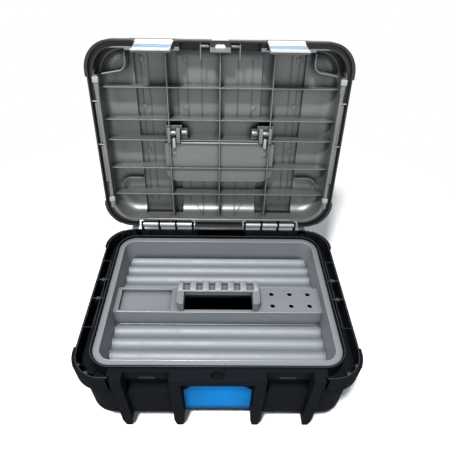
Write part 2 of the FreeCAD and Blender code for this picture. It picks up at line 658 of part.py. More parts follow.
def latch_notch(side):
    """The notch in the lid's front edge that one latch swings in."""
    x0 = side * LATCH_CENTRE - LATCH_NOTCH_WIDTH / 2
    return block(x0, x0 + LATCH_NOTCH_WIDTH, LID_FRONT - CUT_OVERRUN, LATCH_NOTCH_BACK,
                 LID_BASE - CUT_OVERRUN, LID_BASE + LATCH_NOTCH_HEIGHT)


def hinge_notch(side):
    """The notch in the lid's back wall that one hinge lies in."""
    reach = (KNUCKLE_COUNT + 1) * KNUCKLE_PITCH / 2 - KNUCKLE_LENGTH / 2 + HINGE_NOTCH_SIDE
    middle = side * HINGE_CENTRE
    return block(middle - reach, middle + reach, CASE_BACK - HINGE_NOTCH_DEPTH,
                 CASE_BACK + CUT_OVERRUN, LID_BASE - CUT_OVERRUN, LID_BASE + HINGE_NOTCH_HEIGHT)


def padlock_space(grow):
    """The padlock's recess above the tab, grown by a wall."""
    half = PADLOCK_HALF_WIDTH + grow
    low = LID_BASE + TAB_THICKNESS - 2 * grow
    return block(-half, half, LID_FRONT - CUT_OVERRUN, PADLOCK_BACK + grow,
                 max(low, LID_BASE), LID_TOP + CUT_OVERRUN)


def lid_shell():
    """The lid's moulded shell with ribs, handle recess, side strips, notches and pin holes."""
    outside = lid_outside()
    hollow = lid_hollow()
    body = outside.cut(hollow)
    ribs = [hollow.common(rib) for rib in lid_ribs()]
    well = recess_space(WALL).common(outside)
    plate = well.copy()
    plate.translate(V(0, 0, -WALL))
    padlock = padlock_space(WALL).common(outside)
    body = fused([body, well, plate.common(outside), padlock] + ribs)
    body = body.cut(recess_space(0)).cut(lid_groove()).cut(padlock_space(0))
    strip_top = LID_BASE + STRIP_DEPTH
    for strip in sides(STRIP_INNER, STRIP_OUTER, STRIP_FRONT, STRIP_BACK,
                       LID_BASE - CUT_OVERRUN, strip_top):
        body = body.cut(strip)
    body = body.cut(oval(0, HASP_HOLE_PLACE, LID_BASE - CUT_OVERRUN, LID_TOP + CUT_OVERRUN,
                         TAB_HOLE_LENGTH, TAB_HOLE_WIDTH))
    for side in (-1, 1):
        body = body.cut(latch_notch(side)).cut(hinge_notch(side))
        body = body.cut(handle_pin(side)).cut(latch_pin(side))
    return body


def carry_handle():
    """The carry handle: a rounded bar on two arms that turn on pins."""
    top = LID_TOP - SEAT_GAP
    low = top - HANDLE_BAR_THICKNESS
    half = HANDLE_ARM_OUTER
    bar = block(-half, half, HANDLE_BAR_FRONT, HANDLE_BAR_BACK, low, top)
    along = [e for e in bar.Edges if e.BoundBox.XLength > HANDLE_BAR_THICKNESS]
    bar = bar.makeFillet(HANDLE_BAR_RADIUS, along)
    arm_low = HANDLE_PIVOT_Z - HANDLE_ARM_RADIUS
    arm_top = HANDLE_PIVOT_Z + HANDLE_ARM_RADIUS
    arms = sides(HANDLE_ARM_INNER, half, HANDLE_PIVOT_PLACE, HANDLE_BAR_BACK - HANDLE_BAR_RADIUS,
                 arm_low, arm_top)
    eyes = both_sides(rod(HANDLE_ARM_INNER, half, HANDLE_PIVOT_PLACE, HANDLE_PIVOT_Z,
                          HANDLE_ARM_RADIUS))
    body = fused([bar] + arms + eyes)
    past = half + CUT_OVERRUN
    return body.cut(rod(-past, past, HANDLE_PIVOT_PLACE, HANDLE_PIVOT_Z,
                        HANDLE_PIN_RADIUS + PIN_FIT))


def handle_pin(side):
    """The pin of one handle arm, held in the walls of its fork slot."""
    inner, outer = sorted((side * HANDLE_PIN_INNER, side * HANDLE_PIN_OUTER))
    return rod(inner, outer, HANDLE_PIVOT_PLACE, HANDLE_PIVOT_Z, HANDLE_PIN_RADIUS)


def latch_plate(side):
    """One extruded latch plate: barrel, grooved face, hook behind and lip at its free end."""
    x0 = side * LATCH_CENTRE - LATCH_WIDTH / 2
    x1 = x0 + LATCH_WIDTH
    back = LATCH_PIVOT_PLACE + LATCH_THICKNESS / 2
    front = back - LATCH_THICKNESS
    low = LATCH_PIVOT_Z - LATCH_LENGTH
    hook_z = LATCH_PIVOT_Z - LATCH_HOOK_DROP
    lip_top = low + LATCH_LIP_LENGTH
    barrel = rod(x0, x1, LATCH_PIVOT_PLACE, LATCH_PIVOT_Z, LATCH_BARREL_RADIUS)
    plate = block(x0, x1, front, back, low, LATCH_PIVOT_Z)
    hook = block(x0, x1, front, back + LATCH_HOOK_DEPTH, hook_z - LATCH_HOOK_THICKNESS, hook_z)
    lip = outline_x([(back, low), (front - LATCH_LIP_OUT, low), (front - LATCH_LIP_OUT / 2, lip_top),
                     (back, lip_top)], x0, x1)
    body = fused([barrel, plate, hook, lip])
    first = LATCH_PIVOT_Z - LATCH_BARREL_RADIUS
    pitch = (first - lip_top) / (LATCH_GROOVE_COUNT + 1)
    for step in range(LATCH_GROOVE_COUNT):
        z = first - (step + 1) * pitch
        body = body.cut(block(x0 - CUT_OVERRUN, x1 + CUT_OVERRUN, front - CUT_OVERRUN,
                              front + LATCH_GROOVE_DEPTH, z, z + LATCH_GROOVE_WIDTH))
    body = body.cut(rod(x0 - CUT_OVERRUN, x1 + CUT_OVERRUN, LATCH_PIVOT_PLACE, LATCH_PIVOT_Z,
                        LATCH_PIN_RADIUS + PIN_FIT))
    body.rotate(V(0, LATCH_PIVOT_PLACE, LATCH_PIVOT_Z), X_AXIS, LATCH_REST_TILT)
    return body


def latch_pin(side):
    """The pin of one latch, held in the sides of its notch."""
    reach = LATCH_NOTCH_WIDTH / 2 + LATCH_PIN_REACH
    middle = side * LATCH_CENTRE
    return rod(middle - reach, middle + reach, LATCH_PIVOT_PLACE, LATCH_PIVOT_Z, LATCH_PIN_RADIUS)


def latch_clips(side):
    """The two round clips on one latch's pin, between the latch and the notch's sides."""
    clips = []
    for end in (-1, 1):
        x = side * LATCH_CENTRE + end * (LATCH_NOTCH_WIDTH - CLIP_THICKNESS) / 2
        clip = rod(x - CLIP_THICKNESS / 2, x + CLIP_THICKNESS / 2,
                   LATCH_PIVOT_PLACE, LATCH_PIVOT_Z, CLIP_RADIUS)
        clips.append(clip.cut(latch_pin(side)))
    return Part.makeCompound(clips)


def rounded_wire(half_x, half_y, radius, z):
    """A rounded rectangle round the middle of the case at one height."""
    face = slab(-half_x, half_x, -half_y, half_y, z, z + WALL, radius)
    low = min(face.Faces, key=lambda f: f.CenterOfMass.z)
    return low.OuterWire


def tray_cup(inset, z_low):
    """The tray's tapered cup as a plain solid, drawn in by a wall."""
    half_x = TRAY_HALF_WIDTH - TRAY_FLANGE_WIDTH + TRAY_WALL - inset
    half_y = TRAY_HALF_DEPTH - TRAY_FLANGE_WIDTH + TRAY_WALL - inset
    radius = TRAY_RADIUS - TRAY_FLANGE_WIDTH + TRAY_WALL - inset
    low = rounded_wire(half_x - TRAY_DRAFT, half_y - TRAY_DRAFT, radius, z_low)
    high = rounded_wire(half_x, half_y, radius, TRAY_TOP)
    return Part.makeLoft([low, high], True, True)


def scallops(start, end, count):
    """Floor corrugations along X: evenly spaced cusps with round troughs between them."""
    places = [start + (end - start) * step / (count - 1) for step in range(count)]
    first = min(places)
    last = max(places)
    top = TRAY_FLOOR + RIDGE_HEIGHT
    half = TRAY_HALF_WIDTH
    body = block(-half, half, first, last, TRAY_FLOOR - TRAY_WALL / 2, top)
    for a, b in zip(places, places[1:]):
        reach = abs(a - b) / 2
        radius = (reach * reach + RIDGE_HEIGHT * RIDGE_HEIGHT) / (2 * RIDGE_HEIGHT)
        body = body.cut(rod(-half, half, (a + b) / 2, TRAY_FLOOR + radius, radius))
    return body


def spine_outline(inset, top):
    """The (y, z) outline of the tray's raised spine, drawn in by a wall."""
    low = TRAY_FLOOR - TRAY_WALL - (CUT_OVERRUN if inset else 0)
    front = SPINE_FRONT + inset
    back = SPINE_BACK - inset
    return [(front - SPINE_SLOPE, low), (front, top - inset), (back, top - inset),
            (back + SPINE_SLOPE / 2, low)]


def tool_tray():
    """The lift-out tray: flange, tapered cup, corrugated floor, spine, pocket and tool holes."""
    flange = slab(-TRAY_HALF_WIDTH, TRAY_HALF_WIDTH, -TRAY_HALF_DEPTH, TRAY_HALF_DEPTH,
                  TRAY_TOP - TRAY_FLANGE_THICKNESS, TRAY_TOP, TRAY_RADIUS)
    outside = tray_cup(0, TRAY_FLOOR - TRAY_WALL)
    hollow = tray_cup(TRAY_WALL, TRAY_FLOOR)
    half = TRAY_HALF_WIDTH
    spine = outline_x(spine_outline(0, SPINE_TOP), -half, half)
    inside = [spine, scallops(BACK_RIDGES_START, BACK_RIDGES_END, BACK_RIDGE_COUNT),
              scallops(FRONT_RIDGES_START, FRONT_RIDGES_END, FRONT_RIDGE_COUNT)]
    body = fused([flange, outside]).cut(hollow)
    body = fused([body] + [piece.common(outside) for piece in inside])
    ends = half - TRAY_FLANGE_WIDTH - TRAY_DRAFT - 2 * TRAY_WALL
    middle = POCKET_RIGHT + TRAY_WALL
    body = body.cut(outline_x(spine_outline(TRAY_WALL, SPINE_TOP), middle, ends))
    low_top = SPINE_TOP - POCKET_DEPTH
    body = body.cut(outline_x(spine_outline(TRAY_WALL, low_top), -ends, middle))
    body = body.cut(block(POCKET_LEFT, POCKET_RIGHT, SPINE_FRONT + POCKET_RIM,
                          SPINE_BACK - POCKET_RIM, low_top, SPINE_TOP + CUT_OVERRUN))
    for x in DRIVER_HOLE_COLUMNS:
        for y in DRIVER_HOLE_ROWS:
            body = body.cut(post(x, y, SPINE_TOP - 2 * TRAY_WALL, SPINE_TOP + CUT_OVERRUN,
                                 DRIVER_HOLE_RADIUS))
    slot_half = TRAY_HANDLE_HALF_LENGTH - TRAY_LEG_WIDTH
    return body.cut(block(-slot_half, slot_half, FINGER_SLOT_FRONT, FINGER_SLOT_BACK,
                          SPINE_TOP - 2 * TRAY_WALL, SPINE_TOP + CUT_OVERRUN))


def tray_handle():
    """The tray's arched handle on the spine, with square pockets along its grip."""
    top = SPINE_TOP + TRAY_HANDLE_RISE
    half = TRAY_HANDLE_HALF_LENGTH
    body = slab(-half, half, TRAY_HANDLE_FRONT, TRAY_HANDLE_BACK, SPINE_TOP, top,
                TRAY_HANDLE_RADIUS)
    inner = half - TRAY_LEG_WIDTH
    past = TRAY_HANDLE_FRONT - CUT_OVERRUN
    body = body.cut(block(-inner, inner, past, TRAY_HANDLE_BACK + CUT_OVERRUN,
                          SPINE_TOP - CUT_OVERRUN, top - TRAY_GRIP_THICKNESS))
    body = body.cut(block(-inner, inner, past, TRAY_GRIP_FRONT, SPINE_TOP, top + CUT_OVERRUN))
    for step in range(GRIP_POCKET_COUNT):
        x = (step - (GRIP_POCKET_COUNT - 1) / 2) * GRIP_POCKET_PITCH
        body = body.cut(block(x - GRIP_POCKET_WIDTH / 2, x + GRIP_POCKET_WIDTH / 2,
                              TRAY_GRIP_FRONT + GRIP_POCKET_RIM, TRAY_HANDLE_BACK - GRIP_POCKET_RIM,
                              top - GRIP_POCKET_DEPTH, top + CUT_OVERRUN))
    return body


def opened(shape):
    """A lid piece turned from closed to the open rest pose."""
    turned = shape.copy()
    turned.rotate(V(0, HINGE_Y, HINGE_Z), X_AXIS, -OPEN_ANGLE)
    return turned


def case_pieces():
    """Every piece of the case in its rest pose, by name."""
    pieces = {
        "base_tub": base_tub(),
        "front_label": front_label(),
        "tool_tray": tool_tray(),
        "tray_handle": tray_handle(),
        "lid_shell": opened(lid_shell()),
        "carry_handle": opened(carry_handle()),
    }
    for word, side in (("left", -1), ("right", 1)):
        pieces["hinge_pin_" + word] = hinge_pin(side)
        for number, middle in enumerate(knuckle_middles(), 1):
            pieces[f"hinge_knuckle_{word}_{number}"] = opened(knuckle(side * middle))
        pieces["handle_pin_" + word] = opened(handle_pin(side))
        pieces["latch_plate_" + word] = opened(latch_plate(side))
        pieces["latch_pin_" + word] = opened(latch_pin(side))
        pieces["latch_clips_" + word] = opened(latch_clips(side))
    return pieces


def rest_shift(pieces):
    """The move that puts the middle of the whole case's footprint at the origin."""
    box = Part.makeCompound(list(pieces.values())).BoundBox
    return V(-(box.XMin + box.XMax) / 2, -(box.YMin + box.YMax) / 2, -box.ZMin)


def build():
    """Write each piece to its own file, standing over the origin."""
    os.makedirs("parts", exist_ok=True)
    pieces = case_pieces()
    shift = rest_shift(pieces)
    for name, shape in pieces.items():
        placed = shape.copy()
        placed.translate(shift)
        placed.exportStep(f"parts/{name}.step")


if __name__ == "__main__":
    build()
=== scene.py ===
"""Looks of an open hard tool case: moulded tub, ribbed lid, lift-out tray, latches and hinges.

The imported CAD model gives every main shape. This script dresses its nodes with procedural
finishes, adds the small moulded details as pieces of their own, and sets light and camera.
Details are sized in millimetres in CaseFrame's drawing frame; finishes and lamps in metres.
"""
from __future__ import annotations

import logging
import math
from dataclasses import dataclass, field
from enum import Enum

import bmesh
import bpy
from mathutils import Matrix, Vector

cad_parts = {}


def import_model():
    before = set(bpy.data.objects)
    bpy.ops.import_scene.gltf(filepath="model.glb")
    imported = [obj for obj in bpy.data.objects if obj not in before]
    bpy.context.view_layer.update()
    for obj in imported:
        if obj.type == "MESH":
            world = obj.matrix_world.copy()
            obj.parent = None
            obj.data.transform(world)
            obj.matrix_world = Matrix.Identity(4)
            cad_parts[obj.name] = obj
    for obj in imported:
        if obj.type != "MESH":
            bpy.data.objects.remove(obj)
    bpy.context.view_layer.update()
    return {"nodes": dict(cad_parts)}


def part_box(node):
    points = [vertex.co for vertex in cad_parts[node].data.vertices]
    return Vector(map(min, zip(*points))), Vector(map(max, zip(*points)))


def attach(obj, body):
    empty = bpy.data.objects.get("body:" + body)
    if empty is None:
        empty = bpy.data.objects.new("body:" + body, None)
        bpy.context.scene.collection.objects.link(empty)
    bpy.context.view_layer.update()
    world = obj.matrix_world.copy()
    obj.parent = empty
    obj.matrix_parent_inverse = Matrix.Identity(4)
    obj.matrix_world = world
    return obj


LOG = logging.getLogger("tool_case")
MM = 0.001
BAR_SIDES = 32
RIB_SIDES = 8
SMOOTH_RIB_SIDES = 10
SHARP_ANGLE = math.radians(35)

Colour = tuple[float, float, float]
Point = tuple[float, float, float]
Pair = tuple[float, float]
Spans = tuple[Pair, ...]
Number = float | int
Inputs = dict[str, object]


class Axis(Enum):
    """The axis that a round bar runs along."""

    X = math.pi / 2
    Z = 0.0

    def turn(self) -> Matrix:
        """Give the turn that lays a bar, made along Z, along this axis."""
        return Matrix.Rotation(self.value, 4, "Y")


class Value:
    """A number socket that takes Python's operators and adds the Math nodes for them."""

    def __init__(self, shader: Shader, socket: bpy.types.NodeSocket) -> None:
        """Keep the socket and the shader that it belongs to."""
        self.shader = shader
        self.socket = socket

    def _math(self, operation: str, *values: Value | Number) -> Value:
        """Add one Math node.

        Args:
            operation: the Math node's operation.
            values: its inputs, as numbers or values.

        Returns:
            The node's output as a value.
        """
        inputs = dict(enumerate(values))
        return Value(self.shader, self.shader.node("ShaderNodeMath", {"operation": operation}, inputs, 0))

    def __add__(self, other: Value | Number) -> Value:
        """Add."""
        return self._math("ADD", self, other)

    def __sub__(self, other: Value | Number) -> Value:
        """Subtract."""
        return self._math("SUBTRACT", self, other)

    def __rsub__(self, other: Value | Number) -> Value:
        """Subtract this value from a number."""
        return self._math("SUBTRACT", other, self)

    def __mul__(self, other: Value | Number) -> Value:
        """Multiply."""
        return self._math("MULTIPLY", self, other)

    def __truediv__(self, other: Value | Number) -> Value:
        """Divide."""
        return self._math("DIVIDE", self, other)

    def __gt__(self, other: Value | Number) -> Value:
        """Give 1 where this value is the larger, else 0."""
        return self._math("GREATER_THAN", self, other)

    def __lt__(self, other: Value | Number) -> Value:
        """Give 1 where this value is the smaller, else 0."""
        return self._math("LESS_THAN", self, other)

    def __abs__(self) -> Value:
        """Drop the sign."""
        return self._math("ABSOLUTE", self)

    def most(self, other: Value | Number) -> Value:
        """Give the larger of this and another value."""
        return self._math("MAXIMUM", self, other)

    def root(self) -> Value:
        """Give the square root."""
        return self._math("SQRT", self)

    def clamp(self) -> Value:
        """Keep the value between 0 and 1."""
        return self._math("MINIMUM", self._math("MAXIMUM", self, 0.0), 1.0)


class Shader:
    """One material's node tree, with one method that adds any node."""

    def __init__(self, name: str) -> None:
        """Make the material with its output and principled shader.

        Args:
            name: the material's name.
        """
        self.material = bpy.data.materials.new(name)
        self.material.use_nodes = True
        self.tree = self.material.node_tree
        self.tree.nodes.clear()
        self.surface = self.tree.nodes.new("ShaderNodeBsdfPrincipled")
        self.output = self.tree.nodes.new("ShaderNodeOutputMaterial")
        self.show(self.surface.outputs[0])
        coords = self.tree.nodes.new("ShaderNodeTexCoord")
        self.place = coords.outputs["Object"]

    def show(self, shading: bpy.types.NodeSocket) -> None:
        """Make a shader socket the material's surface."""
        self.tree.links.new(shading, self.output.inputs["Surface"])

    def node(self, kind: str, settings: dict[str, object], inputs: dict[object, object],
             output: int | str) -> bpy.types.NodeSocket:
        """Add one node.

        Args:
            kind: the node's type.
            settings: its properties, set before its inputs.
            inputs: values, sockets or Values for its inputs.
            output: which output to give back.

        Returns:
            The chosen output socket.
        """
        made = self.tree.nodes.new(kind)
        for name, setting in settings.items():
            setattr(made, name, setting)
        for key, value in inputs.items():
            self.feed(made.inputs[key], value)
        return made.outputs[output]

    def feed(self, socket: bpy.types.NodeSocket, value: object) -> None:
        """Link or set one input.

        Args:
            socket: the input.
            value: a number, colour, socket or Value.
        """
        if isinstance(value, Value):
            value = value.socket
        if isinstance(value, bpy.types.NodeSocket):
            self.tree.links.new(value, socket)
        else:
            socket.default_value = value

    def noise(self, scale: float, detail: float = 2.0, stretch: Colour = (1.0, 1.0, 1.0)) -> Value:
        """Give a noise pattern in object space.

        Args:
            scale: features per metre.
            detail: the noise's detail.
            stretch: scale along each axis.

        Returns:
            The pattern, from 0 to 1.
        """
        place = self.node("ShaderNodeMapping", {}, {"Vector": self.place, "Scale": stretch}, 0)
        return Value(self, self.node("ShaderNodeTexNoise", {},
                                     {"Vector": place, "Scale": scale, "Detail": detail}, 0))

    def along(self, axis: str) -> Value:
        """Give one object coordinate in metres."""
        return Value(self, self.node("ShaderNodeSeparateXYZ", {}, {0: self.place}, axis))

    def crease(self, reach: float) -> Value:
        """Give how open a place is, from 0 deep in a corner to 1 in the open.

        Args:
            reach: how far away the walls count, in metres.

        Returns:
            The openness.
        """
        return Value(self, self.node("ShaderNodeAmbientOcclusion", {"samples": 6},
                                     {"Distance": reach}, "AO"))

    def blend(self, factor: Value, low: object, high: object) -> bpy.types.NodeSocket:
        """Mix two colours.

        Args:
            factor: 0 gives low and 1 gives high.
            low: the first colour.
            high: the second colour.

        Returns:
            The mixed colour.
        """
        return self.node("ShaderNodeMix", {"data_type": "RGBA"},
                         {0: factor, 6: rgba(low), 7: rgba(high)}, 2)

    def bump(self, height: Value, depth: float, strength: float = 1.0,
             round_edge: float = 0.0) -> bpy.types.NodeSocket:
        """Give a bumpy normal.

        Args:
            height: the bumps' pattern.
            depth: their depth in metres.
            strength: how much of them shows.
            round_edge: radius in metres by which sharp edges look rounded.

        Returns:
            The normal.
        """
        inputs: dict[object, object] = {"Height": height, "Distance": depth, "Strength": strength}
        if round_edge:
            inputs["Normal"] = self.node("ShaderNodeBevel", {"samples": 4}, {"Radius": round_edge}, 0)
        return self.node("ShaderNodeBump", {}, inputs, 0)


def rgba(colour: object) -> object:
    """Give a plain colour its alpha; sockets pass through."""
    if isinstance(colour, tuple) and len(colour) == 3:
        return (*colour, 1.0)
    return colour


@dataclass(frozen=True)
class Finish:
    """A procedural finish: its name, its colour and the other colour that it varies to."""

    name: str
    colour: Colour
    other: Colour

    def build(self) -> bpy.types.Material:
        """Make the material.

        Returns:
            The finished material.
        """
        shader = Shader(self.name)
        for name, value in self.inputs(shader).items():
            shader.feed(shader.surface.inputs[name], value)
        return shader.material

    def inputs(self, shader: Shader) -> Inputs:
        """Give what goes into the principled shader.

        Args:
            shader: the material that gets the nodes.

        Returns:
            Numbers, sockets and Values by the names of the inputs.
        """
        raise NotImplementedError


@dataclass(frozen=True)
class MouldedPlastic(Finish):
    """Injection-moulded polypropylene with a fine grain, faint flow marks, worn tone and painted shade in its
    creases.
    """

    roughness: float
    metallic: float = 0.0
    grain: float = 0.00006
    reach: float = 0.014
    # How dark the painted shade in creases gets, as a share of the plain colour.
    crease_shade: float = 0.35
    soft_edge: float = 0.0007
    gloss: float = 0.5

    def inputs(self, shader: Shader) -> Inputs:
        """Give a colour with flow marks and specks, painted shade that darkens its creases, and a wiped,
        grained gloss.
        """
        flow = shader.noise(9.0, 3.0, (0.35, 1.0, 1.0))
        speck = shader.noise(900.0, 1.0)
        plain = shader.blend((flow * 0.75 + speck * 0.35 - 0.05).clamp(), self.colour, self.other)
        # Painted shade: where ambient occlusion finds walls close by, in creases, corners and recesses, the
        # colour darkens towards a share of itself.
        open_air = (shader.crease(self.reach) * 1.5 - 0.35).clamp()
        crease_shaded = tuple(channel * self.crease_shade for channel in self.colour)
        wipe = shader.noise(38.0, 4.0, (1.0, 0.3, 1.0))
        return {"Base Color": shader.blend(open_air, crease_shaded, plain),
                "Roughness": (wipe * 0.16 + (self.roughness - 0.08)).clamp(),
                "Metallic": self.metallic, "Specular IOR Level": self.gloss,
                "Normal": shader.bump(shader.noise(2600.0, 2.0), self.grain, 0.5, self.soft_edge)}


@dataclass(frozen=True)
class LidPlastic(Finish):
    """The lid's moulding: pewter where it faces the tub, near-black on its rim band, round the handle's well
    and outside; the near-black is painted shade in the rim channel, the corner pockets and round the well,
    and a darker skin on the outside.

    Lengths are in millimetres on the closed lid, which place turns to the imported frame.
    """

    inside: MouldedPlastic
    place: Matrix
    half_width: float = 222.2
    half_depth: float = 164.5
    corner: float = 44.6
    edge: float = 20.0
    base: float = 168.3
    ceiling: float = 213.3
    band_rise: float = 6.0
    band_reach: float = 15.0
    band_middle: float = 121.0
    band_half: float = 42.5
    flange: float = 14.0
    skin: float = 1.5
    flange_skin: float = 4.8
    plate: float = 190.8
    well_half: float = 107.5
    well_middle: float = 38.5
    well_reach: float = 42.0

    def inputs(self, shader: Shader) -> Inputs:
        """Give the inside's inputs, with the near-black outside and the painted shade of the rim channel and
        well over them.
        """
        inputs = self.inside.inputs(shader)
        back = self.place.inverted()
        turned = shader.node("ShaderNodeMapping", {}, {
            "Vector": shader.place, "Location": tuple(back.to_translation()),
            "Rotation": tuple(back.to_euler())}, 0)
        across, along, height = (
            Value(shader, shader.node("ShaderNodeSeparateXYZ", {}, {0: turned}, axis)) / MM for axis in "XYZ")
        side = (abs(across) - (self.half_width - self.corner)).most(0.0)
        on_band = abs(abs(across) - self.band_middle) < self.band_half
        banded = on_band * (height > self.base + 2.0 * self.flange)
        end = (abs(along) - banded * self.band_reach - (self.half_depth - self.corner)).most(0.0)
        out = ((side * side + end * end).root() - (self.corner - self.edge)).most(0.0)
        up = (height - on_band * self.band_rise - (self.ceiling - self.edge)).most(0.0)
        past = (out * out + up * up).root() - self.edge
        low = (height < self.base + self.flange) * self.flange_skin
        well = ((abs(across) < self.well_half) * (abs(along - self.well_middle) < self.well_reach)
                * (height > self.plate))
        # Near-black past the cavity's rounded outline and on the well's walls: painted shade in the rim
        # channel, the corner pockets and round the well, and the darker outer skin.
        dark = (past - low > self.skin).most(well)
        outer = shader.blend(shader.noise(55.0, 3.0), self.colour, self.other)
        inputs["Base Color"] = shader.blend(dark, inputs["Base Color"], outer)
        inputs["Metallic"] = (1.0 - dark) * self.inside.metallic
        return inputs


@dataclass(frozen=True)
class DrawnMetal(Finish):
    """Metal with fine lines from drawing or extrusion along X."""

    roughness: float

    def inputs(self, shader: Shader) -> Inputs:
        """Give a clouded colour and gloss with fine lines."""
        lines = shader.noise(1400.0, 2.0, (0.004, 1.0, 1.0))
        tone = (lines * 0.5 + shader.noise(30.0, 2.0) * 0.3).clamp()
        return {"Base Color": shader.blend(tone, self.colour, self.other),
                "Roughness": (lines * 0.2 + (self.roughness - 0.1)).clamp(), "Metallic": 0.9,
                "Normal": shader.bump(lines, 0.00001, 0.3, 0.4 * MM)}


@dataclass(frozen=True)
class ExtrudedLatch(Finish):
    """Anodised extrusion: a cooler flat band of painted sky reflection between two lighter bands of painted
    highlight, and painted shade on the face under its lip.
    """

    under_lip_shade: Colour
    front: float
    back: float
    top: float
    band_start: float = 0.29
    band_end: float = 0.64
    band_fade: float = 0.15
    shaded_tip_depth: float = 0.9 * MM
    lip_height: float = 2.6 * MM
    roughness: float = 0.34

    def inputs(self, shader: Shader) -> Inputs:
        """Give the bands of painted highlight and reflection and the painted shade under the lip, with faint
        lines along X.
        """
        along = shader.along("Y")
        lines = shader.noise(420.0, 1.0, (0.01, 1.0, 1.0))
        reach = self.back - self.front
        middle = self.front + reach * (self.band_start + self.band_end) / 2
        half = reach * (self.band_end - self.band_start) / 2
        # Painted reflection: the middle of the flat takes the cooler colour, while the rounded edge and the
        # lip keep the lighter colour as painted highlight.
        band = ((half - abs(along - middle)) / (self.band_fade * half)).clamp()
        # Painted shade: the face under the lip at the front end is darkened.
        tip = (along < self.front + self.shaded_tip_depth) * (shader.along("Z") < self.top - self.lip_height)
        tone = shader.blend(band, self.colour, self.other)
        return {"Base Color": shader.blend(tip, tone, self.under_lip_shade),
                "Roughness": (lines * 0.08 + self.roughness).clamp(), "Metallic": 0.55,
                "Normal": shader.bump(lines, 0.000002, 0.3, 0.5 * MM)}


@dataclass(frozen=True)
class Sticker(Finish):
    """A plain glossy blue sticker with a soft gradient and a darker foot."""

    dark: Colour
    low: float
    high: float
    foot: float = 0.12
    glow_middle: float = 0.012
    glow_half: float = 0.06

    def inputs(self, shader: Shader) -> Inputs:
        """Give the gradient's colour, under a faintly rippled film."""
        rise = ((shader.along("Z") - self.low) / (self.high - self.low)).clamp()
        glow = (1.0 - abs(shader.along("X") - self.glow_middle) / self.glow_half).clamp() * rise
        film = shader.blend(glow, self.colour, self.other)
        ripple = shader.noise(45.0)
        return {"Base Color": shader.blend(rise < self.foot, film, self.dark),
                "Roughness": (ripple * 0.1 + 0.3).clamp(), "Specular IOR Level": 0.01,
                "Normal": shader.bump(ripple, 0.0002, 0.15)}


TUB_PLASTIC = MouldedPlastic("tub_plastic", (0.0048, 0.0056, 0.0073), (0.0112, 0.0128, 0.0165), 0.55,
                             gloss=0.002)
# Painted highlight: a lighter, glossier copy of the tub's plastic for its edge lines, boss caps and slot
# rims.
TUB_EDGE_HIGHLIGHT = MouldedPlastic("tub_edge_highlight_plastic", (0.03, 0.033, 0.039), (0.06, 0.065, 0.076), 0.4, gloss=0.2)
LID_PLASTIC = MouldedPlastic("lid_plastic", (0.125, 0.132, 0.133), (0.235, 0.247, 0.249), 0.42, 0.65,
                             crease_shade=0.2)
TRAY_PLASTIC = MouldedPlastic("tray_plastic", (0.17, 0.187, 0.203), (0.25, 0.273, 0.294), 0.6, 0.45,
                              soft_edge=0.0003)
# Painted highlight: a lighter copy of the tray's plastic for the grip's ribs and lip, the tray's edge lines
# and the rings round its driver holes.
TRAY_HIGHLIGHT_PLASTIC = MouldedPlastic("tray_highlight_plastic", (0.3, 0.315, 0.33), (0.42, 0.435, 0.45), 0.38, 0.5)
# Painted highlight: a lighter copy of the lid's plastic, for the hinge knuckles, gussets, lips and rim blocks
# where light catches them.
KNUCKLE_HIGHLIGHT_PLASTIC = MouldedPlastic("knuckle_highlight_plastic", (0.27, 0.285, 0.285), (0.4, 0.415, 0.41), 0.34, 0.4)
CLIP_PLASTIC = MouldedPlastic("clip_plastic", (0.03, 0.032, 0.034), (0.055, 0.058, 0.06), 0.35)
PIN_STEEL = DrawnMetal("pin_steel", (0.42, 0.42, 0.43), (0.62, 0.62, 0.62), 0.3)


def metres(*values: float) -> tuple[float, ...]:
    """Turn millimetres into metres."""
    return tuple(value * MM for value in values)


def edges_of(verts: list[bmesh.types.BMVert]) -> list[bmesh.types.BMEdge]:
    """Give every edge of some vertices once, in the same order each time."""
    return list(dict.fromkeys(edge for vert in verts for edge in vert.link_edges))


def new_object(name: str, data: bpy.types.ID) -> bpy.types.Object:
    """Put a mesh, a lamp or a camera into the scene.

    Args:
        name: the object's name.
        data: what it shows.

    Returns:
        The object.
    """
    made = bpy.data.objects.new(name, data)
    bpy.context.scene.collection.objects.link(made)
    return made


@dataclass(frozen=True)
class Box:
    """A bevelled box on the case's right side, in millimetres."""

    low: Point
    high: Point
    bevel: float

    def add(self, maker: Maker, side: int) -> None:
        """Add the box to a piece.

        Args:
            maker: the piece.
            side: 1 for the right side, -1 for its mirror image on the left.
        """
        size = [(b - a) * MM for a, b in zip(self.low, self.high)]
        middle = Vector([(a + b) / 2 * MM for a, b in zip(self.low, self.high)])
        middle.x *= side
        made = bmesh.ops.create_cube(maker.mesh, size=1.0)
        verts = maker.move(made, Matrix.Translation(middle) @ Matrix.Diagonal((*size, 1.0)))
        maker.soften(edges_of(verts), min(self.bevel * MM, min(size) / 3))


@dataclass(frozen=True)
class Rod:
    """A round bar on the case's right side, in millimetres."""

    middle: Point
    radius: float
    length: float
    bevel: float
    axis: Axis = Axis.X

    def add(self, maker: Maker, side: int) -> None:
        """Add the bar to a piece.

        Args:
            maker: the piece.
            side: 1 for the right side, -1 for its mirror image on the left.
        """
        middle = Vector(metres(*self.middle))
        middle.x *= side
        made = bmesh.ops.create_cone(maker.mesh, cap_ends=True, segments=BAR_SIDES, depth=self.length * MM,
                                     radius1=self.radius * MM, radius2=self.radius * MM)
        verts = maker.move(made, Matrix.Translation(middle) @ self.axis.turn())
        rims = [edge for edge in edges_of(verts) if any(len(face.verts) > 4 for face in edge.link_faces)]
        maker.soften(rims, self.bevel * MM)


Shapes = tuple[Box | Rod, ...]
# A side is 1 for the case's right and -1 for its left.
BOTH_SIDES = (-1, 1)
RIGHT = (1,)


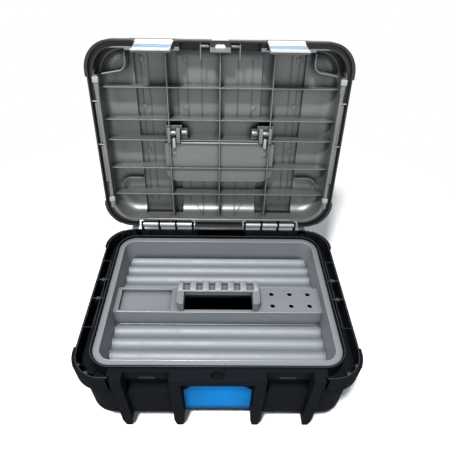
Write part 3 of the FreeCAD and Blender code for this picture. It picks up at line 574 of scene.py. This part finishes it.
@dataclass
class Maker:
    """Makes one finished piece from bmesh shapes gathered in it."""

    name: str
    body: str
    slot: str
    material: bpy.types.Material
    place: Matrix
    mesh: bmesh.types.BMesh = field(default_factory=bmesh.new)

    def move(self, found: dict[str, list], matrix: Matrix) -> list[bmesh.types.BMVert]:
        """Move the vertices that an operator has just made, and give them back."""
        verts = [item for item in found["verts"] if isinstance(item, bmesh.types.BMVert)]
        bmesh.ops.transform(self.mesh, matrix=matrix, verts=verts)
        return verts

    def soften(self, edges: list[bmesh.types.BMEdge], width: float) -> None:
        """Bevel edges by a width in metres."""
        bmesh.ops.bevel(self.mesh, geom=edges, offset=width, affect="EDGES", segments=2,
                        profile=0.5, material=-1)

    def add(self, shapes: Shapes, sides: tuple[int, ...] = BOTH_SIDES) -> None:
        """Add boxes and bars.

        Args:
            shapes: the boxes and bars.
            sides: the sides that get them.
        """
        for side in sides:
            for shape in shapes:
                shape.add(self, side)

    def tube(self, points: list[Point], radius: float, sides: int = RIB_SIDES) -> None:
        """Add a thin round rib along a line of points.

        Args:
            points: the line's points in millimetres.
            radius: the rib's radius in millimetres.
            sides: how many sides the rib has.
        """
        line = [Vector(metres(*point)) for point in points]
        rings = []
        for index, point in enumerate(line):
            ahead = line[min(index + 1, len(line) - 1)] - line[max(index - 1, 0)]
            turn = ahead.to_track_quat("Z", "Y").to_matrix().to_4x4()
            made = bmesh.ops.create_circle(self.mesh, segments=sides, radius=radius * MM)
            verts = self.move(made, Matrix.Translation(point) @ turn)
            rings.append(edges_of(verts))
        for ring, after in zip(rings, rings[1:]):
            bmesh.ops.bridge_loops(self.mesh, edges=ring + after)
        for ring in (rings[0], rings[-1]):
            bmesh.ops.contextual_create(self.mesh, geom=ring)

    def wall(self, points: list[Pair], low: float, high: float, thickness: float) -> None:
        """Add a thin upright wall along a line.

        Args:
            points: the line's (x, y) points in millimetres.
            low: the wall's lower edge in millimetres.
            high: its upper edge in millimetres.
            thickness: its thickness in millimetres.
        """
        foot = [self.mesh.verts.new(metres(x, y, low)) for x, y in points]
        edges = [self.mesh.edges.new(pair) for pair in zip(foot, foot[1:])]
        made = bmesh.ops.extrude_edge_only(self.mesh, edges=edges)["geom"]
        top = [item for item in made if isinstance(item, bmesh.types.BMVert)]
        bmesh.ops.translate(self.mesh, verts=top, vec=(0.0, 0.0, (high - low) * MM))
        faces = [item for item in made if isinstance(item, bmesh.types.BMFace)]
        bmesh.ops.solidify(self.mesh, geom=faces, thickness=thickness * MM)

    def sheet(self, points: list[Pair], low: float, high: float) -> None:
        """Add a flat plate with a given outline.

        Args:
            points: the outline's (x, y) points in millimetres.
            low: the plate's lower height in millimetres.
            high: its upper height in millimetres.
        """
        face = self.mesh.faces.new([self.mesh.verts.new(metres(x, y, low)) for x, y in points])
        made = bmesh.ops.extrude_face_region(self.mesh, geom=[face], use_keep_orig=True)["geom"]
        top = [item for item in made if isinstance(item, bmesh.types.BMVert)]
        bmesh.ops.translate(self.mesh, verts=top, vec=(0.0, 0.0, (high - low) * MM))

    def finish(self) -> None:
        """Turn what was gathered into one object that rides on its body."""
        bmesh.ops.transform(self.mesh, matrix=self.place, verts=self.mesh.verts)
        bmesh.ops.recalc_face_normals(self.mesh, faces=self.mesh.faces)
        data = bpy.data.meshes.new(self.name)
        self.mesh.to_mesh(data)
        self.mesh.free()
        piece = new_object(self.name, data)
        data.materials.append(self.material)
        data.shade_smooth()
        data.set_sharp_from_angle(angle=SHARP_ANGLE)
        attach(piece, self.body)
        LOG.info("piece %s on %s", self.name, self.body)


@dataclass(frozen=True)
class Outline:
    """The right half of a rounded rectangle from front to back, in millimetres."""

    start: float
    width: float
    front: float
    back: float
    radius: float
    height: float
    steps: int = 10

    def points(self, side: int) -> list[Point]:
        """Give its points, mirrored to the left where side is -1."""
        x = self.width - self.radius
        line = [(self.start, -self.front)]
        line += arc(x, self.radius - self.front, self.radius, 270.0, 360.0, self.steps)
        line += arc(x, self.back - self.radius, self.radius, 0.0, 90.0, self.steps)
        return [(side * a, b, self.height) for a, b in line + [(0.0, self.back)]]


@dataclass
class CaseFrame:
    """Places that every sub-assembly shares, in millimetres, in the case's own drawing frame.

    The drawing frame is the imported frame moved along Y, and has the lid closed.
    """

    front: float = -182.0
    rim: float = 168.0
    lid_base: float = 168.3
    hinge_y: float = 184.6
    hinge_z: float = 180.8
    open_angle: float = 102.35

    def shift(self) -> float:
        """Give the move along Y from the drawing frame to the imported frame."""
        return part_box("base_tub")[0][1] / MM - self.front

    def tub_place(self) -> Matrix:
        """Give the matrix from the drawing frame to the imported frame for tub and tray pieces."""
        return Matrix.Translation((0.0, self.shift() * MM, 0.0))

    def lid_place(self) -> Matrix:
        """Give the matrix that also turns a piece of the closed lid to the open rest pose."""
        pivot = Vector(metres(0.0, self.hinge_y, self.hinge_z))
        turn = Matrix.Rotation(-math.radians(self.open_angle), 4, "X")
        return self.tub_place() @ Matrix.Translation(pivot) @ turn @ Matrix.Translation(-pivot)

    def depth_place(self) -> Matrix:
        """Give lid_place for pieces whose heights are depths from the lid's rim plane."""
        return self.lid_place() @ Matrix.Translation((0.0, 0.0, self.lid_base * MM))


@dataclass
class LidDetails:
    """The small moulded details inside the lid, drawn on the closed lid.

    Lengths are in millimetres, and heights are depths from the lid's rim plane.
    """

    frame: CaseFrame
    plastic: bpy.types.Material
    # The lighter finish that paints highlights on small lid parts.
    bright: bpy.types.Material
    outer: bpy.types.Material
    plate: float = 21.0
    floor: float = 45.0
    deep_floor: float = 51.0
    embed: float = 0.5
    inner_band: float = 80.0
    outer_band: float = 162.0
    well_half: float = 107.0
    well_front: float = -31.0
    fork: Shapes = (
        Box((78.0, -28.0, 12.0), (85.6, 2.0, 21.4), 1.2),
        Box((97.0, -28.0, 12.0), (103.0, 2.0, 21.4), 1.2),
        Rod((91.3, -17.4, 16.5), 5.2, 11.6, 0.8),
        Rod((69.5, -17.4, 20.0), 6.2, 12.0, 1.2),
        Box((63.5, -24.0, 20.0), (75.5, -3.5, 45.5), 1.0))
    gusset: Shapes = (Box((87.6, -8.0, 13.0), (93.8, 13.0, 21.3), 1.8),)
    lip: Shapes = (Box((-77.0, 0.4, 15.6), (77.0, 3.8, 21.4), 1.6),)
    skirt_half: float = 109.0
    skirt_front: float = 5.0
    skirt_back: float = 84.0
    skirt_radius: float = 24.0
    skirt_sheet: float = 0.3
    skirt_wall: float = 1.2
    mark_columns: tuple[float, ...] = (-148.5, -66.0, 66.0, 148.5)
    mark_rows: tuple[float, ...] = (-146.4, -60.4, 28.6)
    mark_radius: float = 5.6
    bosses: Shapes = (
        Rod((92.0, 27.6, 20.7), 5.0, 1.4, 0.4, Axis.Z), Rod((92.0, 27.6, 20.0), 1.5, 2.4, 0.4, Axis.Z))
    rail_columns: tuple[float, ...] = (-150.5, -136.0, -62.0, -35.0, 35.0, 62.0, 136.0, 150.5)
    rail_half: float = 0.7
    rail_height: float = 1.2
    rail_spans: Spans = ((-155.0, 140.0),)
    well_rail_spans: Spans = ((-155.0, -33.0), (82.0, 140.0))
    plate_lines: Shapes = (
        Box((30.0, 13.0, 20.3), (72.0, 13.9, 21.3), 0.3), Box((30.0, 22.0, 20.3), (72.0, 22.9, 21.3), 0.3))
    rim_blocks: Shapes = (
        Box((219.5, -121.5, -2.5), (231.0, -110.5, 4.0), 1.4),
        Box((219.5, 113.0, -2.5), (231.0, 124.0, 4.0), 1.4))
    ramps: Shapes = (
        Box((220.5, -113.5, -0.5), (230.0, -95.5, 6.0), 1.8),
        Box((220.5, 121.0, -0.5), (230.0, 139.0, 6.0), 1.8))
    side_bars: Shapes = (
        Box((227.6, -77.5, 2.2), (233.4, 0.6, 11.4), 1.2), Box((227.6, 4.4, 2.2), (233.4, 81.5, 11.4), 1.2))
    side_lips: Shapes = (
        Box((226.0, -77.5, -0.6), (227.2, 0.6, 9.0), 0.4), Box((226.0, 4.4, -0.6), (227.2, 81.5, 9.0), 0.4),
        Box((226.0, -79.6, -0.3), (236.4, -77.8, 9.0), 0.4), Box((226.0, 1.4, -0.3), (236.4, 3.2, 9.0), 0.4))
    padlock: Shapes = (
        Box((33.8, -178.4, 3.4), (36.0, -149.0, 9.0), 0.6), Rod((26.5, -172.0, 7.0), 3.0, 18.0, 0.4))
    corner_x: float = 187.0
    front_corner_y: float = -144.0
    front_corner_radius: float = 15.0
    front_corner_ends: Spans = ((172.0, -162.0), (216.5, -124.0))
    front_wall_top: float = 14.0
    back_corner_y: float = 104.0
    back_corner_radius: float = 22.0
    back_corner_end: Pair = (163.0, 82.0)
    back_wall_top: float = 30.0
    aprons: Spans = ((-189.0, -174.8), (-52.4, 52.4), (174.8, 189.0))
    apron_low: float = -11.8
    apron_inset: float = 0.3
    apron_face: Pair = (182.4, 183.1)
    apron_back: Pair = (182.8, 184.2)
    apron_root: Pair = (180.5, 183.5)
    back_edge: float = 165.2
    fillet: float = 20.0
    fillet_start: float = 144.3
    fillet_steps: int = 6
    back_lines: Spans = ((15.0, 51.4), (0.0, 34.5))

    def maker(self, name: str, bright: bool = False) -> Maker:
        """Start one piece of the lid."""
        # Pieces with the lighter finish show painted highlight.
        slot, finish = ("knuckle", self.bright) if bright else ("lid", self.plastic)
        return Maker(name, "lid", slot, finish, self.frame.depth_place())

    def floor_at(self, x: float) -> float:
        """Give the depth of the lid's inner face at a place across it."""
        return self.deep_floor if self.inner_band < abs(x) < self.outer_band else self.floor

    def piece(self, name: str, shapes: Shapes, sides: tuple[int, ...] = BOTH_SIDES,
              bright: bool = False) -> None:
        """Make one piece of boxes and bars.

        Args:
            name: its name.
            shapes: its boxes and bars, for the right side, with their depths in the lid.
            sides: the sides that get them.
            bright: whether it has the lighter finish that paints highlights.
        """
        maker = self.maker(name, bright)
        maker.add(shapes, sides)
        maker.finish()

    def forks(self) -> None:
        """Make the fork arms and barrels that carry the handle's pins, with their gussets."""
        for word, side in (("left", -1), ("right", 1)):
            self.piece(f"lid_fork_{word}", self.fork, (side,))
            # The gussets take the lighter finish as painted highlight.
            self.piece(f"lid_gusset_{word}", self.gusset, (side,), True)

    def plate_skirt(self) -> None:
        """Make the wider rounded step that carries the handle's plate, as a thin sheet with its walls."""
        skirt = self.maker("lid_plate_skirt")
        radius = self.skirt_radius
        turn = arc(self.skirt_half - radius, self.skirt_back - radius, radius, 0.0, 90.0, 10)
        right = [(self.skirt_half, self.skirt_front)] + turn
        left = [(-x, y) for x, y in reversed(right)]
        low = self.plate - self.skirt_sheet
        skirt.sheet(right + left, low, self.plate)
        for line, floor in ((right, self.deep_floor), (left, self.deep_floor),
                            ([right[-1], left[0]], self.floor)):
            skirt.wall(line, low, floor + self.embed, self.skirt_wall)
        skirt.finish()

    def marks(self) -> None:
        """Make the round marks that the mould's pins left, and the screw bosses on the plate."""
        marks = self.maker("lid_round_marks")
        for x in self.mark_columns:
            for y in self.mark_rows:
                if abs(x) > self.well_half or y < self.well_front:
                    middle = (x, y, self.floor_at(x) - 0.4)
                    marks.add((Rod(middle, self.mark_radius, 1.6, 0.5, Axis.Z),), RIGHT)
        marks.add(self.bosses)
        marks.finish()

    def rails(self) -> None:
        """Make the fine raised lines that run from the lid's front to its back."""
        rails = self.maker("lid_fine_rails")
        for x in self.rail_columns:
            low, high = self.floor_at(x) - self.rail_height, self.floor_at(x) + self.embed
            spans = self.well_rail_spans if abs(x) < self.well_half else self.rail_spans
            for first, last in spans:
                rail = Box((x - self.rail_half, first, low), (x + self.rail_half, last, high), 0.4)
                rails.add((rail,), RIGHT)
        rails.add(self.plate_lines)
        rails.finish()

    def corner_walls(self) -> None:
        """Make the curved walls that close off the lid's four corners."""
        walls = self.maker("lid_corner_walls")
        foot = self.floor + self.embed
        for side in BOTH_SIDES:
            first, last = self.front_corner_ends
            turn = arc(self.corner_x, self.front_corner_y, self.front_corner_radius, 180.0, 90.0, 8)
            front = [(side * x, y) for x, y in [first] + turn + [last]]
            walls.wall(front, self.front_wall_top, foot, 1.8)
            top = self.front_wall_top + 0.2
            walls.tube([(x, y, top) for x, y in front], 1.5, SMOOTH_RIB_SIDES)
            turn = arc(self.corner_x, self.back_corner_y, self.back_corner_radius, 270.0, 350.0, 8)
            back = [(side * x, y) for x, y in [self.back_corner_end] + turn]
            walls.wall(back, self.back_wall_top, foot, 1.6)
        walls.finish()

    def hinge_aprons(self) -> None:
        """Make the strips that cover the gap behind the open tub, each with a dark back."""
        aprons = self.maker("lid_hinge_aprons")
        backs = Maker("lid_apron_backs", "lid", "lid", self.outer, self.frame.depth_place())
        for first, last in self.aprons:
            for maker, inset, (front, back), low, high, bevel in (
                    (aprons, self.apron_inset, self.apron_face, self.apron_low + self.apron_inset, 6.0, 0.2),
                    (backs, 0.0, self.apron_back, self.apron_low, 7.0, 0.4),
                    (backs, 0.0, self.apron_root, 1.0, 6.0, 0.3)):
                maker.add((Box((first + inset, front, low), (last - inset, back, high), bevel),), RIGHT)
        aprons.finish()
        backs.finish()

    def back_edge_lines(self) -> None:
        """Make the lip along the lid's back edge and the fine lines that run down to it."""
        # The back lip takes the lighter finish as painted highlight.
        lip = self.maker("lid_back_lip", True)
        lip.tube([(side * 156.0, self.back_edge, -0.2) for side in BOTH_SIDES], 0.8)
        lip.finish()
        lines = self.maker("lid_back_lines")
        turns = [math.pi / 2 * step / self.fillet_steps for step in range(self.fillet_steps + 1)]
        for side in BOTH_SIDES:
            for drift, foot in self.back_lines:
                curve = [(side * (foot - drift * math.sin(turn) ** 2),
                          self.fillet_start + self.fillet * math.sin(turn),
                          self.floor - self.fillet + self.fillet * math.cos(turn)) for turn in turns]
                lines.tube(curve + [(*curve[-1][:2], 15.0)], 0.9)
        lines.finish()

    def build(self) -> None:
        """Make every detail of the lid."""
        self.forks()
        # Painted highlight on the plate lip.
        self.piece("lid_plate_lip", self.lip, RIGHT, True)
        self.plate_skirt()
        self.marks()
        self.rails()
        self.corner_walls()
        # Painted highlight on the rim blocks.
        self.piece("lid_rim_blocks", self.rim_blocks, bright=True)
        self.piece("lid_block_ramps", self.ramps)
        self.piece("lid_side_bars", self.side_bars)
        # Painted highlight on the side lips.
        self.piece("lid_side_lips", self.side_lips, bright=True)
        self.piece("lid_padlock_frame", self.padlock)
        self.hinge_aprons()
        self.back_edge_lines()


@dataclass
class TrayDetails:
    """The ribs on the tray's grip, its edge lines and the rings of its driver holes, lighter than the tray as
    painted highlight.
    """

    frame: CaseFrame
    plastic: bpy.types.Material
    rib_count: int = 7
    rib_pitch: float = 24.2
    rib_half: float = 6.6
    end_rib_half: float = 5.1
    rib_front: float = 0.6
    rib_back: float = 25.4
    rib_foot: float = 164.0
    rib_top: float = 173.2
    lip: Shapes = (Box((-78.8, 0.1, 166.0), (78.8, 3.8, 171.2), 1.4),)
    rim: Outline = Outline(0.0, 201.0, 143.3, 143.3, 23.4, 165.9, 8)
    spine_lines: tuple[tuple[Point, Point, float], ...] = (
        ((-192.0, -33.0, 149.0), (192.0, -33.0, 149.0), 0.7),
        ((-188.0, -41.0, 121.6), (188.0, -41.0, 121.6), 0.7),
        ((-190.0, 22.5, 149.0), (-91.0, 22.5, 149.0), 0.6))
    hole_columns: tuple[float, ...] = (104.7, 140.35, 176.0)
    hole_rows: tuple[float, ...] = (11.0, -17.5)
    hole_top: float = 149.0
    hole_radius: float = 5.0

    def maker(self, name: str) -> Maker:
        """Start one piece of the tray."""
        return Maker(name, "tray", "tray", self.plastic, self.frame.tub_place())

    def grip(self) -> None:
        """Make one rounded rib between each two pockets of the grip, and a lip along its front, both lighter
        as painted highlight.
        """
        ribs = self.maker("tray_grip_ribs")
        last = self.rib_count - 1
        for step in range(self.rib_count):
            middle = (step - last / 2) * self.rib_pitch
            half = self.rib_half if 0 < step < last else self.end_rib_half
            rib = Box((middle - half, self.rib_front, self.rib_foot),
                      (middle + half, self.rib_back, self.rib_top), 2.4)
            ribs.add((rib,), RIGHT)
        ribs.add(self.lip, RIGHT)
        ribs.finish()

    def edges(self) -> None:
        """Make the lines of painted highlight along the edges of the rim, the spine and the pocket."""
        edges = self.maker("tray_edge_lines")
        for side in BOTH_SIDES:
            edges.tube(self.rim.points(side), 0.6)
        for first, last, thickness in self.spine_lines:
            edges.tube([first, last], thickness)
        edges.finish()

    def rings(self) -> None:
        """Make a ring of painted highlight round each driver hole."""
        rings = self.maker("tray_hole_rings")
        for x in self.hole_columns:
            for y in self.hole_rows:
                ring = arc(x, y, self.hole_radius, 0.0, 360.0, 16)
                rings.tube([(a, b, self.hole_top) for a, b in ring + ring[1:2]], 0.5)
        rings.finish()

    def build(self) -> None:
        """Make every detail of the tray."""
        self.grip()
        self.edges()
        self.rings()


@dataclass
class TubDetails:
    """The edges, bosses and slots of the tub's rim, lighter on their edges as painted highlight, in the
    drawing frame.
    """

    frame: CaseFrame
    edge_highlight: bpy.types.Material
    plain: bpy.types.Material
    edge: Outline = Outline(176.0, 237.6, 175.2, 179.6, 49.6, 167.5)
    collar: Outline = Outline(0.0, 214.6, 156.9, 156.9, 37.0, 170.4)
    shelf: Spans = ((237.0, 83.0), (221.6, 83.0), (221.6, -79.0), (237.0, -79.0))
    boss_places: Spans = ((226.6, -14.1), (226.6, 32.4), (229.5, -153.0), (213.0, -167.1))
    boss_top: float = 166.1
    boss_ribs: Shapes = (
        Box((215.6, -14.9, 165.5), (237.2, -13.3, 166.5), 0.2),
        Box((215.6, 31.6, 165.5), (237.2, 33.2, 166.5), 0.2))
    corner_ribs: tuple[Spans, ...] = (
        ((215.4, -150.0), (237.0, -155.0)), ((206.0, -154.5), (219.0, -176.0)))
    corner_rib_top: float = 165.6
    padlock_x: float = 4.6
    padlock_y: float = -171.0
    padlock_radius: float = 7.9
    ledge_slots: Shapes = (
        Box((102.0, -165.5, 147.0), (130.0, -164.7, 147.7), 0.2),
        Box((102.0, -165.5, 151.0), (130.0, -164.7, 151.7), 0.2))

    def maker(self, name: str, finish: bpy.types.Material) -> Maker:
        """Start one piece of the tub."""
        return Maker(name, "tub", "tub", finish, self.frame.tub_place())

    def rim_lines(self) -> None:
        """Make the thin lines of painted highlight along the edges of the rim and of its collar."""
        lines = self.maker("tub_rim_lines", self.edge_highlight)
        for side in BOTH_SIDES:
            for outline in (self.edge, self.collar):
                lines.tube(outline.points(side), 0.65)
            lines.tube([(side * x, y, self.frame.rim - 1.6) for x, y in self.shelf], 0.6)
        lines.finish()

    def bosses(self) -> None:
        """Make the caps of the round bosses and the tops of the ribs in the rim's channel; the caps and the
        ribs by the bosses are lighter as painted highlight.
        """
        caps = self.maker("tub_boss_caps", self.edge_highlight)
        for x, y in self.boss_places:
            caps.add((Rod((x, y, self.boss_top), 3.9, 1.0, 0.3, Axis.Z),
                      Rod((x, y, self.boss_top + 0.5), 1.7, 1.0, 0.2, Axis.Z)))
        caps.add(self.boss_ribs)
        caps.finish()
        ribs = self.maker("tub_corner_ribs", self.plain)
        for side in BOTH_SIDES:
            for rib in self.corner_ribs:
                ribs.tube([(side * x, y, self.corner_rib_top) for x, y in rib], 0.8)
        ribs.finish()

    def padlock_ring(self) -> None:
        """Make the raised rounded ring round the padlock hole."""
        ring = self.maker("tub_padlock_ring", self.plain)
        right = arc(self.padlock_x, self.padlock_y, self.padlock_radius, -90.0, 90.0, 12)
        left = arc(-self.padlock_x, self.padlock_y, self.padlock_radius, 90.0, 270.0, 12)
        line = right + left + right[:2]
        ring.tube([(x, y, self.frame.rim - 0.9) for x, y in line], 1.1, SMOOTH_RIB_SIDES)
        ring.finish()

    def slots(self) -> None:
        """Make the small slot rims low on the ledges between the legs, lighter as painted highlight."""
        slots = self.maker("tub_ledge_slots", self.edge_highlight)
        slots.add(self.ledge_slots)
        slots.finish()

    def build(self) -> None:
        """Make every detail of the tub."""
        self.rim_lines()
        self.bosses()
        self.padlock_ring()
        self.slots()


def arc(x: float, y: float, radius: float, start: float, end: float, steps: int) -> list[Pair]:
    """Give points along a round stretch.

    Args:
        x: its centre across.
        y: its centre along.
        radius: its radius.
        start: its first angle in degrees.
        end: its last angle in degrees.
        steps: how many pieces it has.

    Returns:
        The points.
    """
    turns = [math.radians(start + (end - start) * step / steps) for step in range(steps + 1)]
    return [(x + radius * math.cos(turn), y + radius * math.sin(turn)) for turn in turns]


FINISH_OF_NODE = {"base_tub": "tub", "lid_shell": "lid_shell", "tool_tray": "tray", "tray_handle": "tray",
                  "carry_handle": "tub", "hinge_pin": "steel", "handle_pin": "steel",
                  "latch_pin": "steel", "latch_plate": "latch", "latch_clips": "clip",
                  "hinge_knuckle": "knuckle", "front_label": "label"}


def dress(nodes: dict[str, bpy.types.Object], finishes: dict[str, bpy.types.Material]) -> None:
    """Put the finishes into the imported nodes' material slots.

    Args:
        nodes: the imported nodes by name.
        finishes: the finishes by name.
    """
    for name, node in nodes.items():
        material = next(finishes[key] for start, key in FINISH_OF_NODE.items() if name.startswith(start))
        for slot in node.material_slots:
            slot.material = material
        LOG.info("dressed %s with %s", name, material.name)


def seen_rays(tree: bpy.types.NodeTree) -> bpy.types.NodeSocket:
    """Give 1 for rays from the camera, from a gloss or through glass.

    Args:
        tree: the node tree to add the nodes to.

    Returns:
        The socket with the answer.
    """
    rays = tree.nodes.new("ShaderNodeLightPath")
    answer = rays.outputs["Is Camera Ray"]
    for kind in ("Is Glossy Ray", "Is Transmission Ray"):
        either = tree.nodes.new("ShaderNodeMath")
        either.operation = "MAXIMUM"
        tree.links.new(answer, either.inputs[0])
        tree.links.new(rays.outputs[kind], either.inputs[1])
        answer = either.outputs[0]
    return answer


@dataclass(frozen=True)
class Lamp:
    """One soft round lamp, in metres and watts."""

    name: str
    place: Point
    aim: Point
    size: float
    power: float
    colour: Colour

    def hang(self) -> None:
        """Put the lamp into the scene."""
        data = bpy.data.lights.new(self.name, "AREA")
        data.shape = "DISK"
        data.size = self.size
        data.energy = self.power
        data.color = self.colour
        place = Vector(self.place)
        turn = (Vector(self.aim) - place).to_track_quat("-Z", "Y").to_matrix().to_4x4()
        new_object(self.name, data).matrix_world = Matrix.Translation(place) @ turn


@dataclass
class Studio:
    """The floor, the light and the photograph's camera.

    The camera's place is in millimetres in the drawing frame. The floor turns white between near
    and far, in metres.
    """

    frame: CaseFrame
    lens: float = 30.94
    pitch: float = 43.55
    roll: float = 1.14
    yaw: float = 0.97
    camera_x: float = -1.56
    camera_y: float = -474.65
    camera_rise: float = 576.84
    shift_x: float = 0.0052
    shift_y: float = 0.0441
    sky: float = 0.26
    sky_tone: Colour = (0.78, 0.87, 1.0)
    white: Colour = (1.0, 1.0, 1.0)
    paper: Colour = (0.86, 0.86, 0.86)
    pale_paper: Colour = (0.9, 0.9, 0.9)
    near: float = 0.45
    far: float = 0.9
    lamps: tuple[Lamp, ...] = (
        Lamp("key", (-0.4, -1.0, 2.5), (0.0, 0.0, 0.2), 0.3, 105.0, (1.0, 0.99, 0.97)),
        Lamp("fill", (1.2, -1.9, 1.6), (0.0, 0.0, 0.3), 1.6, 5.0, (0.93, 0.97, 1.0)),
        Lamp("back", (0.2, 1.9, 1.9), (0.0, 0.1, 0.2), 1.2, 12.0, (1.0, 1.0, 1.0)))

    def camera(self) -> None:
        """Set the camera where the photograph was taken from."""
        data = bpy.data.cameras.new("camera")
        data.sensor_width = 36.0
        data.lens = self.lens
        data.shift_x = self.shift_x
        data.shift_y = self.shift_y
        data.clip_start = 0.01
        camera = new_object("camera", data)
        pitch, roll, yaw = (math.radians(a) for a in (self.pitch, self.roll, self.yaw))
        ahead = Vector((math.sin(yaw) * math.cos(pitch), math.cos(yaw) * math.cos(pitch),
                        -math.sin(pitch)))
        right = Vector((math.cos(yaw), -math.sin(yaw), 0.0))
        above = right.cross(ahead)
        turned_right = right * math.cos(roll) + above * math.sin(roll)
        turned_above = above * math.cos(roll) - right * math.sin(roll)
        matrix = Matrix((turned_right, turned_above, -ahead)).transposed().to_4x4()
        matrix.translation = Vector(metres(self.camera_x, self.camera_y + self.frame.shift(),
                                           self.camera_rise + self.frame.rim))
        camera.matrix_world = matrix
        bpy.context.scene.camera = camera

    def floor(self) -> None:
        """Lay the pale floor, which keeps the case's shadow and fades to white far away."""
        shader = Shader("floor_paper")
        shader.feed(shader.surface.inputs["Base Color"],
                    shader.blend(shader.noise(60.0), self.paper, self.pale_paper))
        shader.surface.inputs["Roughness"].default_value = 0.9
        across, along = shader.along("X"), shader.along("Y")
        away = (across * across + along * along - self.near * self.near) / (self.far * self.far)
        white = shader.node("ShaderNodeEmission", {}, {"Color": rgba(self.white)}, 0)
        fade = Value(shader, seen_rays(shader.tree)) * away.clamp()
        mix = shader.node("ShaderNodeMixShader", {}, {0: fade, 1: shader.surface.outputs[0], 2: white}, 0)
        shader.show(mix)
        mesh = bmesh.new()
        bmesh.ops.create_grid(mesh, x_segments=1, y_segments=1, size=40.0)
        data = bpy.data.meshes.new("floor")
        mesh.to_mesh(data)
        mesh.free()
        data.materials.append(shader.material)
        new_object("floor", data)

    def world(self) -> None:
        """Surround the case with soft light, and show white behind it."""
        world = bpy.data.worlds.new("studio")
        bpy.context.scene.world = world
        world.use_nodes = True
        tree = world.node_tree
        tree.nodes.clear()
        soft = tree.nodes.new("ShaderNodeBackground")
        soft.inputs["Color"].default_value = rgba(self.sky_tone)
        soft.inputs["Strength"].default_value = self.sky
        white = tree.nodes.new("ShaderNodeBackground")
        white.inputs["Color"].default_value = rgba(self.white)
        mix = tree.nodes.new("ShaderNodeMixShader")
        output = tree.nodes.new("ShaderNodeOutputWorld")
        tree.links.new(seen_rays(tree), mix.inputs[0])
        tree.links.new(soft.outputs[0], mix.inputs[1])
        tree.links.new(white.outputs[0], mix.inputs[2])
        tree.links.new(mix.outputs[0], output.inputs["Surface"])

    def build(self) -> None:
        """Set the whole stage."""
        self.camera()
        self.floor()
        self.world()
        for lamp in self.lamps:
            lamp.hang()
        bpy.context.scene.view_settings.view_transform = "Standard"


def main() -> None:
    """Build the whole scene in order and report the pieces."""
    logging.basicConfig(level=logging.INFO, format="%(message)s")
    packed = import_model()
    frame = CaseFrame()
    label_low, label_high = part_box("front_label")
    label = Sticker("label_film", (0.0, 0.15, 0.44), (0.0, 0.21, 0.64), (0.0, 0.065, 0.18),
                    label_low[2], label_high[2])
    latch_low, latch_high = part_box("latch_plate_left")
    # Latch colours: silver with painted highlight, the cooler painted sky reflection, and the painted shade
    # under the lip.
    latch = ExtrudedLatch("latch_metal", (0.6, 0.64, 0.66), (0.22, 0.31, 0.42), (0.1, 0.1, 0.098),
                          latch_low[1], latch_high[1], latch_high[2])
    # Near-black of the lid's outside, which also paints the shade in its rim channel, corner pockets and
    # round the handle's well.
    shell = LidPlastic("lid_shell_plastic", (0.004, 0.0043, 0.0048), (0.012, 0.0125, 0.0135),
                       LID_PLASTIC, frame.lid_place())
    kinds = {"tub": TUB_PLASTIC, "lid": LID_PLASTIC, "lid_shell": shell, "tray": TRAY_PLASTIC,
             "knuckle": KNUCKLE_HIGHLIGHT_PLASTIC, "clip": CLIP_PLASTIC, "latch": latch, "steel": PIN_STEEL,
             "label": label}
    finishes = {key: kind.build() for key, kind in kinds.items()}
    dress(packed["nodes"], finishes)
    LidDetails(frame, finishes["lid"], finishes["knuckle"], finishes["lid_shell"]).build()
    TubDetails(frame, TUB_EDGE_HIGHLIGHT.build(), finishes["tub"]).build()
    TrayDetails(frame, TRAY_HIGHLIGHT_PLASTIC.build()).build()
    Studio(frame).build()


if __name__ == "__main__":
    main()
